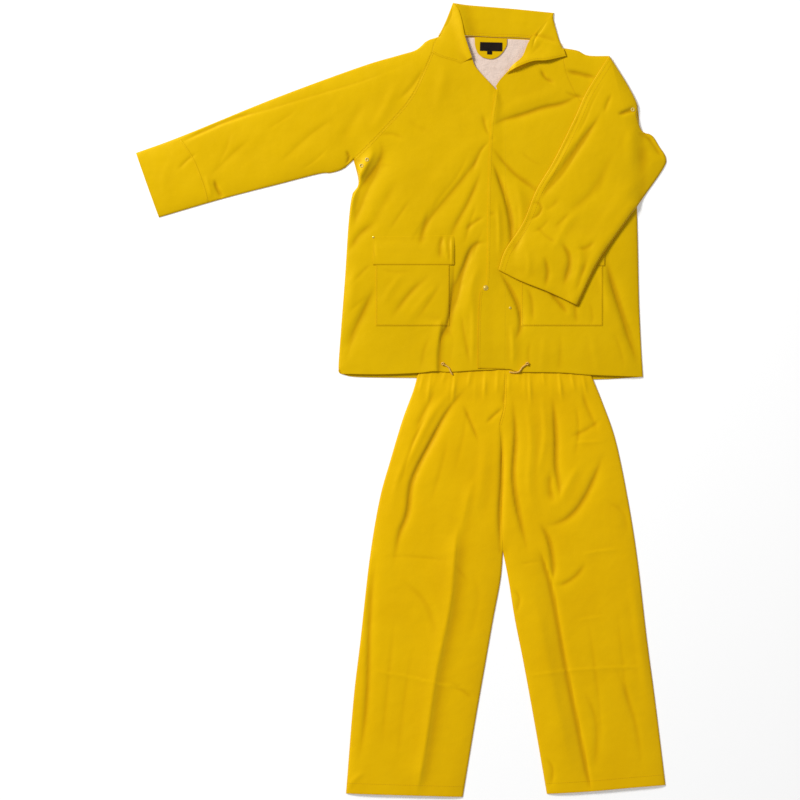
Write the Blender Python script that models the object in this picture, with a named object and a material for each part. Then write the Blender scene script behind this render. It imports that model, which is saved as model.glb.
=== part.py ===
"""Rain jacket and trousers in coated cloth, laid flat as a set.

The jacket lies on its back with the collar open, one sleeve stretched out and the other swung over the
front. The waist of the trousers lies inside the jacket, on its back and under its fronts, and the legs
lie on the same surface. Each cut piece is a closed wall of cloth. Left and right are the wearer's.

The tables give places on the layout sheet, in squares of 2.3 mm, x to the right and y down from the
sheet's top left corner. Heights are in metres above the surface that the set lies on.
"""
from collections import namedtuple

import bpy
import numpy as np
from mathutils import Vector
from mathutils.geometry import delaunay_2d_cdt

SQUARE = 0.0023
SHEET_MID_X = 400.85
SHEET_MID_Y = 399.85

CLOTH = 0.0015
THIN_CLOTH = 0.0011
SEAM_GAP = 0.0003
LOFT = 0.0036
EDGE_ROUND = 0.012
MM = 0.001

GRID = 0.005
GRID_X = np.arange(-0.640, 0.6401, GRID)
GRID_Y = np.arange(-0.940, 0.9401, GRID)
GRID_POINTS = np.column_stack((np.tile(GRID_X, len(GRID_Y)), np.repeat(GRID_Y, len(GRID_X))))

OUTLINE_STEP = 0.030
BODY_STEP = 0.026
LEG_STEP = 0.034
SLEEVE_STEP = 0.026
PLAIN_STEP = 0.090
COLLAR_STEP = 0.020
STORM_STEP = 0.015

STUD_RADIUS = 0.0055
EYELET_RADIUS = 0.0045
EYELET_HOLE = 0.0020
METAL_HEIGHT = 0.0012
CORD_RADIUS = 0.0016
KNOT_RADIUS = 0.0040

YELLOW = (0.72, 0.46, 0.004)
BRIGHT_YELLOW = (0.80, 0.52, 0.004)
LINING = (0.74, 0.60, 0.57)
LABEL = (0.030, 0.018, 0.014)
BRASS = (0.76, 0.58, 0.12)
CORD = (0.62, 0.46, 0.22)

# Edges of the pieces. Neighbours share them, so their seams match.
COLLAR_TOP = [(453, 3), (471, 5.4), (514, 9), (554, 13)]
COLLAR_OUTER_R = [(453, 3), (445, 23), (438, 37)]
COLLAR_OUTER_L = [(554, 13), (553.5, 19), (559, 39), (563, 48)]
COLLAR_SEAM_SIDE_R = [(438, 37), (434, 44), (432, 53)]
COLLAR_SEAM_R = [(432, 53), (441.5, 57.6), (455.5, 61.5), (461, 64)]
COLLAR_END_R = [(461, 64), (472, 58)]
COLLAR_INNER_R = [(453, 3), (460, 19), (464.5, 36), (472, 58)]
COLLAR_INNER_L = [(554, 13), (545, 22), (533, 35), (527.5, 44), (522, 57), (512, 66), (506, 74)]
COLLAR_LOWER_L = [(506, 74), (518, 67.5), (533, 62), (547, 61), (566, 56.5)]
NECK_SEAM = [(438, 37), (464, 36), (497, 37.5), (530, 39), (563, 48)]

SLEEVE_R_TOP = [(438, 37), (427, 41), (416, 50), (400, 55), (360, 67), (273, 99), (181, 136.5), (136, 153)]
SLEEVE_R_CUFF = [(136, 153), (148, 187), (159, 217.5)]
SLEEVE_R_UNDER = [(159, 217.5), (224, 198.5), (280, 184), (319, 174), (331, 173), (343, 169), (353.6, 160)]
RAGLAN_R = [(353.6, 160), (376, 138), (409, 101), (424, 72), (432, 53)]
SIDE_R = [(353.6, 160), (358.5, 183), (352, 196), (348.5, 224), (345, 278), (341, 330), (338.5, 368),
          (341, 374)]
FRONT_R_HEM = [(341, 374), (380, 374.4), (418, 373), (434, 371.3), (450, 372), (479, 370.2), (497, 370)]
FRONT_R_V = [(472, 58), (476.5, 68.5), (494.5, 88)]
CENTRE_FRONT = [(494.5, 88), (497, 104), (497, 230), (497, 370)]
FRONT_L_V = [(494.5, 88), (500, 80), (508, 71)]
FRONT_L_NECK = [(508, 71), (528, 58), (546, 53), (563, 48)]
FRONT_L_HEM = [(497, 370), (511, 369.3), (520, 372), (560, 372.7), (591, 375), (643, 377)]
SIDE_L = [(636, 158), (637, 208), (638, 250), (639, 300), (641, 345), (643, 377)]
RAGLAN_L = [(563, 48), (566, 72), (580, 101), (612, 138), (636, 158)]
SHOULDER_L = [(563, 48), (577.6, 50.7), (588, 55.5), (609, 56)]
HEAD_FOLD_L = [(609, 56), (627, 86), (637, 105), (639, 131), (636, 158)]
BACK_HEM = [(341, 374), (356, 377), (418, 378), (497, 378.5), (591, 379.6), (643, 377)]

ARM_L_OUTER = [(609, 56), (627, 84), (637, 104.5), (636.8, 116), (642, 131), (652, 135.5), (659, 146),
               (666, 158), (663, 169), (643, 198), (613, 241), (596.5, 266), (577.5, 306)]
ARM_L_CUFF = [(577.5, 306), (550, 293), (520, 281), (498, 270)]
ARM_L_INNER = [(498, 270), (505, 250), (523, 222), (536, 190), (553, 161.5), (574, 119), (586, 92.5),
               (609, 56)]

WAIST_TOP_Y = 336
WAIST_SEAM_Y = 350
WAIST_X = (422, 505, 587)
RISE = [(505, 350), (505, 374), (504.5, 405), (500, 425), (501.5, 450), (502, 475), (501.5, 519), (503, 552)]
INSEAM_R = [(503, 552), (500.5, 580), (493, 620), (486, 660), (475.5, 720), (462.8, 796.7)]
INSEAM_L = [(503, 552), (508.5, 580), (515, 620), (523, 660), (534, 720), (546.8, 793.7)]
LEG_HEM_R = [(462.8, 796.7), (420, 795.4), (346, 793.3)]
LEG_HEM_L = [(546.8, 793.7), (591, 791), (630, 787.5), (665.5, 784.8)]
OUTSEAM_R = [(346, 793.3), (353.5, 700), (360.5, 640), (369.5, 560), (379.5, 500), (390.5, 460),
             (402.5, 420), (413.5, 390), (418, 372), (422, 350)]
OUTSEAM_L = [(665.5, 784.8), (655, 700), (647, 640), (637.5, 560), (628, 500), (615.5, 440),
             (601.5, 400), (590.5, 372), (587, 350)]
STEP_UP_Y = (383.5, 381)

STORM_EDGE = [(496, 90), (490.5, 130), (488, 200), (486.5, 280), (480, 292), (478, 330), (477.5, 368.5)]
STORM_HEM = [(477.5, 368.5), (505, 368.7)]
STORM_SEAM = [(505, 368.7), (505.5, 240), (505, 120), (502, 98), (496, 90)]
POCKET_R = [(375.7, 244), (449.5, 244), (449.5, 326), (375.7, 326)]
POCKET_FLAP_R = [(373, 237), (454.5, 235.5), (454.5, 265), (373, 265)]
POCKET_L = [(521, 244), (602.5, 244), (602.5, 326), (521, 326)]
POCKET_FLAP_L = [(519, 237), (604.5, 237), (604.5, 266), (519, 265)]
LINING_EDGE = [(461, 38.2), (497, 39.6), (533, 41.2), (527, 62), (512, 82), (495, 96), (472, 70)]
HALF_MOON = [(474, 41.5), (507, 42.5), (506, 50), (501, 57), (493, 59.8), (484, 57), (477, 50)]
NECK_LABEL = [(480, 44), (502, 45), (501.6, 52), (479.8, 51)]
SIZE_TAB = [(487, 51.8), (492, 52), (491.8, 55), (487, 54.8)]

HEM_CORD_R = [(452.6, 375), (450.5, 371.5), (448.5, 367.5), (444, 364.5)]
HEM_CORD_L = [(509, 372), (514, 372.6), (519, 371.6), (522, 367.5), (526, 364.5)]

Fold = namedtuple("Fold", "x0 y0 x1 y1 bow width height")
STRONG_FOLD = 2.6
FLANK = 1.25
Fold.__doc__ = """A crease or ridge of cloth: its ends and sideways bow in squares, width and height in mm."""

FRONT_FOLDS = [
    Fold(487, 146, 418, 228, 2, 10, -3.3),
    Fold(472, 146, 424, 204, 0, 15, 2.8),
    Fold(377, 146, 354, 214, -4, 8, -3.4),
    Fold(390, 146, 368, 208, -3, 10, 3.2),
    Fold(374, 219, 350, 245, 0, 9, -3.1),
    Fold(374, 284, 344, 354, 2, 10, -3.2),
    Fold(480, 245, 453, 295, 5, 8, -3.1),
    Fold(440, 298, 438, 368, 0, 6, -3.4),
    Fold(429, 306, 427, 368, 0, 10, 3.0),
    Fold(490, 132, 582, 92, 3, 9, -3.5),
    Fold(506, 110, 570, 84, 2, 14, 2.8),
    Fold(491, 143, 514, 171, 2, 6, -2.7),
    Fold(499, 183, 509, 241, -4, 8, -3.5),
    Fold(519, 180, 522, 222, -2, 10, 2.8),
    Fold(500, 278, 520, 328, -5, 8, -3.4),
    Fold(604, 303, 633, 364, 0, 11, -3.2),
    Fold(567, 71, 596, 77, 0, 7, -2.7),
]
SLEEVE_R_FOLDS = [
    Fold(415, 57, 186, 141, 2, 6, -2.7),
    Fold(345, 125, 215, 168, 3, 18, 2.8),
    Fold(392, 84, 372, 132, 0, 12, 2.4),
    Fold(205, 194, 178, 145, 0, 5, -1.8),
    Fold(330, 158, 262, 172, 0, 10, -2.4),
]
ARM_L_FOLDS = [
    Fold(598, 116, 530, 216, 0, 7, -3.4),
    Fold(608, 118, 545, 212, 0, 10, 3.4),
    Fold(648, 137, 618, 168, 0, 10, -3.2),
    Fold(578, 238, 552, 286, 0, 8, -2.9),
    Fold(562, 232, 528, 264, 2, 8, -2.7),
    Fold(640, 175, 590, 250, 0, 16, 2.8),
]
TROUSER_FOLDS = [
    Fold(470, 486, 415, 792, -3, 7, 2.8),
    Fold(547.6, 540, 591, 790, -1, 7, 2.8),
    Fold(462, 392, 396, 557, -10, 12, -3.2),
    Fold(513, 410, 526, 541, 2, 10, -3.2),
    Fold(549, 392, 551, 468, -6, 10, -2.9),
    Fold(604, 454, 549, 524, 0, 11, -3.1),
    Fold(465, 408, 479, 441, 0, 7, -2.7),
    Fold(488, 425, 505, 408, 0, 6, -2.4),
    Fold(503, 470, 502, 552, 0, 6, -3.2),
    Fold(375, 672, 473, 689, 0, 6, -2.2),
    Fold(567, 670, 638, 667, 0, 6, -2.2),
    Fold(437, 540, 420, 660, 0, 18, 2.0),
    Fold(585, 470, 612, 600, 0, 18, 2.4),
]

PLEATS = 26
PLEAT_X = (428, 586)
PLEAT_TOP_Y = 351
PLEAT_HEIGHT = 1.3
PLEAT_WIDTH = 4.5


def place(points):
    """Places on the layout sheet, in squares, as metres from the middle of the set."""
    sheet = np.array(points, dtype=float)
    return np.column_stack(((sheet[:, 0] - SHEET_MID_X) * SQUARE, (SHEET_MID_Y - sheet[:, 1]) * SQUARE))


def smooth_run(points, step=OUTLINE_STEP):
    """A smooth curve through hand-picked places, with a point at least every step."""
    p = place(points)
    if len(p) == 2:
        count = max(1, int(round(np.linalg.norm(p[1] - p[0]) / step)))
        t = np.linspace(0, 1, count + 1)[:, None]
        return p[0] * (1 - t) + p[1] * t
    padded = np.vstack((2 * p[0] - p[1], p, 2 * p[-1] - p[-2]))
    out = [p[:1]]
    for i in range(len(p) - 1):
        a, b, c, d = padded[i:i + 4]
        count = max(1, int(round(np.linalg.norm(c - b) / step)))
        t = np.linspace(0, 1, count + 1)[1:, None]
        curve = 2 * b + (c - a) * t + (2 * a - 5 * b + 4 * c - d) * t ** 2 + (3 * b - a - 3 * c + d) * t ** 3
        out.append(curve / 2)
    return np.vstack(out)


def join_runs(*runs):
    """One closed outline from runs that meet end to end; each run turns round where it has to."""
    loop = runs[0]
    for following in runs[1:]:
        if np.linalg.norm(following[0] - loop[-1]) > np.linalg.norm(following[-1] - loop[-1]):
            following = following[::-1]
        loop = np.vstack((loop, following[1:]))
    if np.linalg.norm(loop[0] - loop[-1]) < 1e-6:
        loop = loop[:-1]
    return loop if signed_area(loop) > 0 else loop[::-1]


def signed_area(loop):
    """Area inside a closed outline, positive when it turns anticlockwise."""
    x, y = loop[:, 0], loop[:, 1]
    return 0.5 * np.sum(x * np.roll(y, -1) - np.roll(x, -1) * y)


def pull_in(loop, amount):
    """The outline moved inwards by amount, with its corners kept."""
    ahead = np.roll(loop, -1, axis=0) - loop
    ahead /= np.linalg.norm(ahead, axis=1)[:, None]
    behind = np.roll(ahead, 1, axis=0)
    normal_ahead = np.column_stack((-ahead[:, 1], ahead[:, 0]))
    normal_behind = np.column_stack((-behind[:, 1], behind[:, 0]))
    middle = normal_ahead + normal_behind
    stretch = np.maximum(np.sum(middle * middle, axis=1) / 2, 0.35)
    return loop + middle * (amount / stretch)[:, None]


def inside(loop, p):
    """Which of the points lie inside a closed outline."""
    x0, y0 = loop[:, 0][None, :], loop[:, 1][None, :]
    x1, y1 = np.roll(x0, -1, axis=1), np.roll(y0, -1, axis=1)
    px, py = p[:, 0][:, None], p[:, 1][:, None]
    rise = np.where(y1 == y0, 1e-12, y1 - y0)
    crosses = ((y0 > py) != (y1 > py)) & (px < x0 + (py - y0) * (x1 - x0) / rise)
    return crosses.sum(axis=1) % 2 == 1


def reach(p, run):
    """Distance of each point from a run of points joined by straight lines."""
    a, b = run[:-1][None, :, :], run[1:][None, :, :]
    along = b - a
    t = np.sum((p[:, None, :] - a) * along, axis=2) / np.maximum(np.sum(along * along, axis=2), 1e-12)
    nearest = a + np.clip(t, 0, 1)[:, :, None] * along
    return np.linalg.norm(p[:, None, :] - nearest, axis=2).min(axis=1)


def fold_line(fold, step=0.016):
    """The points along a fold's middle: a straight line bowed sideways as a parabola."""
    a, b = place([(fold.x0, fold.y0), (fold.x1, fold.y1)])
    along = b - a
    length = np.linalg.norm(along)
    across = np.array((-along[1], along[0])) / length
    t = np.linspace(0, 1, max(2, int(round(length / step))) + 1)[:, None]
    return a + along * t + across * (fold.bow * SQUARE * 4 * t * (1 - t))


def fold_lines(folds, step=0.018):
    """The lines that a table of folds puts into a piece: each middle, and the two flanks of a strong fold."""
    lines = []
    for fold in folds:
        middle = fold_line(fold, step)
        lines.append(middle)
        if abs(fold.height) < STRONG_FOLD:
            continue
        along = np.gradient(middle, axis=0)
        along /= np.linalg.norm(along, axis=1)[:, None]
        across = np.column_stack((-along[:, 1], along[:, 0])) * (FLANK * fold.width * MM)
        lines += [middle + across, middle - across]
    return lines


def relief(p, folds):
    """Height of a table of folds: each is a bell across its line, and fades out at its two ends."""
    total = np.zeros(len(p))
    for fold in folds:
        a, b = place([(fold.x0, fold.y0), (fold.x1, fold.y1)])
        along = b - a
        length = np.linalg.norm(along)
        along /= length
        s = (p - a) @ along / length
        aside = (p - a) @ np.array((-along[1], along[0]))
        t = np.clip(s, 0, 1)
        aside = aside - fold.bow * SQUARE * 4 * t * (1 - t)
        fade = np.clip(np.minimum(s + 0.08, 1.08 - s) / 0.22, 0, 1)
        fade = fade * fade * (3 - 2 * fade)
        total += fold.height * MM * fade * np.exp(-(aside / (fold.width * MM)) ** 2)
    return total


class Heights:
    """Heights of a layer on an even grid over the whole set, read between its points in proportion."""

    def __init__(self, values):
        self.values = values

    @classmethod
    def of(cls, top):
        return cls(top(GRID_POINTS).reshape(len(GRID_Y), len(GRID_X)))

    def grown(self, radius):
        """The highest within radius of each point, so that cloth laid on it clears it."""
        cells = int(np.ceil(radius / GRID))
        padded = np.pad(self.values, cells, mode="edge")
        rows, columns = self.values.shape
        highest = self.values.copy()
        for j in range(-cells, cells + 1):
            for i in range(-cells, cells + 1):
                if i * i + j * j <= (radius / GRID) ** 2 + 1:
                    shifted = padded[cells + j:cells + j + rows, cells + i:cells + i + columns]
                    highest = np.maximum(highest, shifted)
        return Heights(highest)

    def at(self, p):
        u = np.clip((p[:, 0] - GRID_X[0]) / GRID, 0, len(GRID_X) - 1.001)
        v = np.clip((p[:, 1] - GRID_Y[0]) / GRID, 0, len(GRID_Y) - 1.001)
        i, j = u.astype(int), v.astype(int)
        fu, fv = u - i, v - j
        z = self.values
        near = z[j, i] * (1 - fu) + z[j, i + 1] * fu
        far = z[j + 1, i] * (1 - fu) + z[j + 1, i + 1] * fu
        return near * (1 - fv) + far * fv


def split_at(outline, y):
    """The outline with a point added where it crosses a level y, and those crossings from left to right."""
    points, crossings = [], []
    for a, b in zip(outline, np.roll(outline, -1, axis=0)):
        points.append(a)
        if (a[1] - y) * (b[1] - y) < 0:
            t = (y - a[1]) / (b[1] - a[1])
            points.append(np.array((a[0] + (b[0] - a[0]) * t, y)))
            crossings.append(points[-1][0])
    return np.array(points), sorted(crossings)


def cloth_net(outline, step, lines=(), levels=(), clear=0.55):
    """Triangles that fill an outline: its own points, those of its fold lines, and a staggered lattice.

    The levels are straight lines across the whole piece, where the cloth steps up.
    """
    level_lines = []
    for y in levels:
        outline, crossings = split_at(outline, y)
        for left, right in zip(crossings[::2], crossings[1::2]):
            x = np.linspace(left, right, max(2, int((right - left) / 0.03)))
            level_lines.append(np.column_stack((x, np.full(len(x), y))))
    low, high = outline.min(axis=0), outline.max(axis=0)
    rows = np.arange(low[1] + step * 0.4, high[1], step * 0.866)
    lattice = []
    for number, y in enumerate(rows):
        xs = np.arange(low[0] + step * (0.3 + 0.5 * (number % 2)), high[0], step)
        lattice.append(np.column_stack((xs, np.full(len(xs), y))))
    lattice = np.vstack(lattice) if lattice else np.zeros((0, 2))
    lattice = lattice[inside(outline, lattice)]
    closed = np.vstack((outline, outline[:1]))
    if len(lattice):
        lattice = lattice[reach(lattice, closed) > step * clear]
    kept_lines = []
    for line in lines:
        near = inside(outline, line) & (reach(line, closed) > 0.004)
        line = line[near]
        if len(line) < 2:
            continue
        kept_lines.append(line)
        if len(lattice):
            lattice = lattice[reach(lattice, line) > step * 0.42]
    for line in level_lines:
        kept_lines.append(line)
        if len(lattice):
            lattice = lattice[reach(lattice, line) > step * 0.3]
    points = [outline, lattice]
    edges = [(i, (i + 1) % len(outline)) for i in range(len(outline))]
    start = len(outline) + len(lattice)
    for line in kept_lines:
        points.append(line)
        gaps = np.linalg.norm(np.diff(line, axis=0), axis=1)
        edges += [(start + i, start + i + 1) for i in range(len(line) - 1) if gaps[i] < 0.05]
        start += len(line)
    flat = np.vstack(points)
    verts, _, faces, _, _, _ = delaunay_2d_cdt([Vector(q) for q in flat.tolist()], edges, [], 0, 1e-6)
    net = np.array([v[:] for v in verts])
    tris = np.array([f[:] for f in faces if len(f) == 3])
    tris = tris[inside(outline, net[tris].mean(axis=1))]
    return tidy_net(net, tris)


def tidy_net(net, tris):
    """The net without its unused points and flat triangles, every triangle anticlockwise."""
    a, b, c = net[tris[:, 0]], net[tris[:, 1]], net[tris[:, 2]]
    area = (b[:, 0] - a[:, 0]) * (c[:, 1] - a[:, 1]) - (b[:, 1] - a[:, 1]) * (c[:, 0] - a[:, 0])
    tris = np.where((area < 0)[:, None], tris[:, ::-1], tris)
    tris = tris[np.abs(area) > 1e-10]
    used, packed = np.unique(tris, return_inverse=True)
    return net[used], packed.reshape(-1, 3)


def finish(name, colour, roughness, metallic=0.0):
    """A piece's own material."""
    material = bpy.data.materials.new(name)
    material.use_nodes = True
    shader = material.node_tree.nodes["Principled BSDF"]
    shader.inputs["Base Color"].default_value = (*colour, 1.0)
    shader.inputs["Roughness"].default_value = roughness
    shader.inputs["Metallic"].default_value = metallic
    return material


def wall(name, net, tris, under, thickness, colour, roughness=0.42, smooth=True):
    """A closed wall of cloth over a net: its lower face at the heights under, its upper a thickness above."""
    count = len(net)
    low = np.column_stack((net, under))
    high = np.column_stack((net, under + thickness))
    directed = {}
    for tri in tris.tolist():
        for i in range(3):
            directed[(tri[i], tri[(i + 1) % 3])] = True
    rim = [(a, b) for a, b in directed if (b, a) not in directed]
    faces = [tuple(t + count for t in tri) for tri in tris.tolist()]
    faces += [tuple(tri[::-1]) for tri in tris.tolist()]
    for a, b in rim:
        faces.append((a, b, b + count))
        faces.append((a, b + count, a + count))
    mesh = bpy.data.meshes.new(name)
    mesh.from_pydata(np.vstack((low, high)).tolist(), [], faces)
    mesh.update()
    if smooth:
        mesh.shade_smooth()
        mesh.set_sharp_from_angle(angle=0.7)
    piece = bpy.data.objects.new(name, mesh)
    bpy.context.scene.collection.objects.link(piece)
    mesh.materials.append(finish(name, colour, roughness))
    return piece


def panel(name, outline, step, under, colour, lines=(), levels=(), thickness=CLOTH, roughness=0.42):
    """A cut piece of cloth: its outline filled with a net and given the heights of the layer under it."""
    net, tris = cloth_net(pull_in(outline, SEAM_GAP / 2), step, lines, levels)
    wall(name, net, tris, under(net), thickness, colour, roughness)
    return net, tris


def patch(name, net, tris, outline, under, thickness, colour):
    """A piece sewn on a panel: the panel's own triangles inside the outline, moved out."""
    chosen = tris[inside(outline, net[tris].mean(axis=1))]
    own_net, own_tris = tidy_net(net, chosen)
    wall(name, own_net, own_tris, under(own_net), thickness, colour)


def round_fitting(name, centre, base, radius, hole, height, colour):
    """A stud's cap, or an eyelet where it has a hole: a turned profile on the cloth."""
    sides = 20
    if hole:
        profile = [(hole, 0.0), (radius, 0.0), (radius * 0.92, height * 0.7), (radius * 0.7, height),
                   (hole * 1.1, height * 0.8)]
    else:
        profile = [(radius, 0.0), (radius, height * 0.35), (radius * 0.8, height * 0.8),
                   (radius * 0.4, height)]
    angle = np.arange(sides) * (2 * np.pi / sides)
    rings = []
    for r, z in profile:
        rings.append(np.column_stack((centre[0] + r * np.cos(angle), centre[1] + r * np.sin(angle),
                                      np.full(sides, base + z))))
    points = np.vstack(rings)
    faces = []
    count = len(profile)
    last = count if hole else count - 1
    for ring in range(last):
        following = (ring + 1) % count
        for i in range(sides):
            j = (i + 1) % sides
            faces.append((ring * sides + i, ring * sides + j, following * sides + j, following * sides + i))
    if not hole:
        faces.append(tuple(range(sides - 1, -1, -1)))
        faces.append(tuple((count - 1) * sides + i for i in range(sides)))
    mesh = bpy.data.meshes.new(name)
    mesh.from_pydata(points.tolist(), [], faces)
    mesh.update()
    mesh.shade_smooth()
    mesh.set_sharp_from_angle(angle=0.6)
    piece = bpy.data.objects.new(name, mesh)
    bpy.context.scene.collection.objects.link(piece)
    mesh.materials.append(finish(name, colour, 0.3, 0.8))


def cord(name, route):
    """A draw cord's free end: a round cord through its route's places, lying on the cloth, and its knot."""
    p = smooth_run(route, step=0.0055)
    heights = over_all.at(p) + SEAM_GAP + CORD_RADIUS
    for _ in range(3):
        heights[1:-1] = (heights[:-2] + 2 * heights[1:-1] + heights[2:]) / 4
    curve = bpy.data.curves.new(name, "CURVE")
    curve.dimensions = "3D"
    curve.bevel_depth = CORD_RADIUS
    curve.bevel_resolution = 2
    curve.use_fill_caps = True
    spline = curve.splines.new("POLY")
    spline.points.add(len(p) - 1)
    for point, (x, y), z in zip(spline.points, p, heights):
        point.co = (x, y, z, 1)
    piece = bpy.data.objects.new(name, curve)
    bpy.context.scene.collection.objects.link(piece)
    curve.materials.append(finish(name, CORD, 0.8))
    ending = p[-1] - p[-2]
    centre = p[-1] + ending / np.linalg.norm(ending) * (KNOT_RADIUS + SEAM_GAP)
    base = over_all.at(centre[None, :])[0] + SEAM_GAP
    round_fitting(name + "_knot", centre, base, KNOT_RADIUS, 0.0, 1.6 * KNOT_RADIUS, CORD)


for leftover in list(bpy.data.objects):
    bpy.data.objects.remove(leftover, do_unlink=True)

edges = {
    "collar_top": COLLAR_TOP, "collar_outer_r": COLLAR_OUTER_R, "collar_outer_l": COLLAR_OUTER_L,
    "collar_seam_side_r": COLLAR_SEAM_SIDE_R, "collar_seam_r": COLLAR_SEAM_R, "collar_end_r": COLLAR_END_R,
    "collar_inner_r": COLLAR_INNER_R, "collar_inner_l": COLLAR_INNER_L, "collar_lower_l": COLLAR_LOWER_L,
    "neck_seam": NECK_SEAM, "sleeve_r_top": SLEEVE_R_TOP, "sleeve_r_cuff": SLEEVE_R_CUFF,
    "sleeve_r_under": SLEEVE_R_UNDER, "raglan_r": RAGLAN_R, "side_r": SIDE_R, "front_r_hem": FRONT_R_HEM,
    "front_r_v": FRONT_R_V, "centre_front": CENTRE_FRONT, "front_l_v": FRONT_L_V,
    "front_l_neck": FRONT_L_NECK, "front_l_hem": FRONT_L_HEM, "side_l": SIDE_L, "raglan_l": RAGLAN_L,
    "shoulder_l": SHOULDER_L, "head_fold_l": HEAD_FOLD_L, "back_hem": BACK_HEM, "arm_l_outer": ARM_L_OUTER,
    "arm_l_cuff": ARM_L_CUFF, "arm_l_inner": ARM_L_INNER, "storm_edge": STORM_EDGE, "storm_hem": STORM_HEM,
    "storm_seam": STORM_SEAM, "rise": RISE, "inseam_r": INSEAM_R,
    "inseam_l": INSEAM_L, "leg_hem_r": LEG_HEM_R, "leg_hem_l": LEG_HEM_L, "outseam_r": OUTSEAM_R,
    "outseam_l": OUTSEAM_L,
}
edge = {name: smooth_run(points) for name, points in edges.items()}
waist_r = smooth_run([(WAIST_X[0], WAIST_SEAM_Y), (WAIST_X[1], WAIST_SEAM_Y)], 0.02)
waist_l = smooth_run([(WAIST_X[1], WAIST_SEAM_Y), (WAIST_X[2], WAIST_SEAM_Y)], 0.02)

leg_r = join_runs(edge["rise"], edge["inseam_r"], edge["leg_hem_r"], edge["outseam_r"], waist_r)
leg_l = join_runs(edge["rise"], edge["inseam_l"], edge["leg_hem_l"], edge["outseam_l"], waist_l)
band = join_runs(waist_r, waist_l, smooth_run([(WAIST_X[2], WAIST_SEAM_Y), (WAIST_X[2], WAIST_TOP_Y)]),
                 smooth_run([(WAIST_X[2], WAIST_TOP_Y), (WAIST_X[0], WAIST_TOP_Y)]),
                 smooth_run([(WAIST_X[0], WAIST_TOP_Y), (WAIST_X[0], WAIST_SEAM_Y)]))
trouser_folded_edges = [edge["outseam_r"], edge["outseam_l"], edge["inseam_r"], edge["inseam_l"]]
jacket_folded_edges = [edge[n] for n in ("collar_outer_r", "collar_outer_l", "sleeve_r_top", "sleeve_r_under",
                                         "side_r", "side_l", "shoulder_l", "head_fold_l")]
arm_folded_edges = [edge["arm_l_outer"], edge["arm_l_inner"]]

pleat_x = np.linspace(PLEAT_X[0], PLEAT_X[1], PLEATS)
pleat_x = pleat_x + 1.6 * np.sin(2.3 * np.arange(PLEATS))
pleats = [Fold(x, PLEAT_TOP_Y, x + (x - 505) * 0.10, 402 + 9 * np.sin(1.7 * i), 0, PLEAT_WIDTH,
               PLEAT_HEIGHT * (0.75 + 0.35 * np.sin(2.9 * i))) for i, x in enumerate(pleat_x)]
valleys = [Fold((a.x0 + b.x0) / 2, PLEAT_TOP_Y, (a.x1 + b.x1) / 2, 405, 0, 1, 0) for a, b in
           zip(pleats, pleats[1:])]


def puff(p, folded_edges):
    """How far the upper layer of a flat tube stands off the lower one: nothing at its folded edges."""
    away = np.min([reach(p, run) for run in folded_edges], axis=0)
    return LOFT * (1 - np.exp(-away / EDGE_ROUND))


def seat(p):
    """The trousers lie on the surface below the jacket's hem, and on the jacket's back above it."""
    low, high = place([(0, STEP_UP_Y[0]), (0, STEP_UP_Y[1])])[:, 1]
    return (CLOTH + SEAM_GAP) * np.clip((p[:, 1] - low) / (high - low), 0, 1)


def trouser_front_under(p):
    """Lower face of the trousers' front."""
    free = puff(p, trouser_folded_edges) + relief(p, TROUSER_FOLDS) + relief(p, pleats)
    return seat(p) + CLOTH + SEAM_GAP + np.maximum(free, 0)


def waistband_under(p):
    """Lower face of the waistband's front."""
    return seat(p) + CLOTH + SEAM_GAP + puff(p, trouser_folded_edges)


def trouser_top(p):
    """Upper face of the trousers, or of the jacket's back beside them."""
    on_legs = np.where(inside(leg_r, p) | inside(leg_l, p), trouser_front_under(p) + CLOTH, CLOTH)
    return np.where(inside(band, p), waistband_under(p) + CLOTH, on_legs)


def front_under(p):
    """Lower face of the jacket's fronts, collar and sleeve fronts: off the back, and over the trousers."""
    free = puff(p, jacket_folded_edges) + relief(p, FRONT_FOLDS) + relief(p, SLEEVE_R_FOLDS)
    return np.maximum(CLOTH + SEAM_GAP + np.maximum(free, 0), over_trousers.at(p) + SEAM_GAP)


def front_top(p):
    """Upper face of the jacket's fronts."""
    return front_under(p) + CLOTH


def body_top(p):
    """Upper face of the jacket's front and head, and the bare surface beside them."""
    return np.where(inside(body_outline, p) | inside(head_outline, p), front_top(p), 0.0)


def storm_under(p):
    """Lower face of the storm flap, laid on both fronts."""
    return over_body.at(p) + SEAM_GAP


def stack_top(p):
    """Upper face of all that the swung sleeve lies on: fronts, pockets with their flaps, storm flap."""
    top = body_top(p)
    for outline, lift in ((POCKET_L, SEAM_GAP + THIN_CLOTH), (POCKET_FLAP_L, 2 * (SEAM_GAP + THIN_CLOTH))):
        top = np.where(inside(place(outline), p), np.maximum(top, front_top(p) + lift), top)
    return np.where(inside(storm_outline, p), storm_under(p) + CLOTH, top)


def arm_under(p):
    """Lower face of the swung sleeve's lower layer: over the body, and down to the surface beside it."""
    lifted = over_stack.at(p)
    return np.where(lifted > SEAM_GAP, lifted + SEAM_GAP, 0.0)


def arm_front_under(p):
    """Lower face of the swung sleeve's upper layer."""
    free = puff(p, arm_folded_edges) + relief(p, ARM_L_FOLDS)
    return arm_under(p) + CLOTH + SEAM_GAP + np.maximum(free, 0)


def upper_top(p):
    """Upper face of the jacket's body, and of the trousers below its hem."""
    return np.where(inside(body_outline, p), front_top(p), trouser_top(p))


def collar_bed_top(p):
    """Upper face of what the collar's left end turns over: the left front, the sleeve head and the back."""
    return np.where(inside(front_l, p) | inside(head_outline, p), front_top(p), CLOTH)


def collar_left_under(p):
    """Lower face of the collar's left end, which turns over the left front."""
    free = CLOTH + SEAM_GAP + puff(p, jacket_folded_edges)
    return np.maximum(free, over_collar_bed.at(p) + SEAM_GAP)


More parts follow.
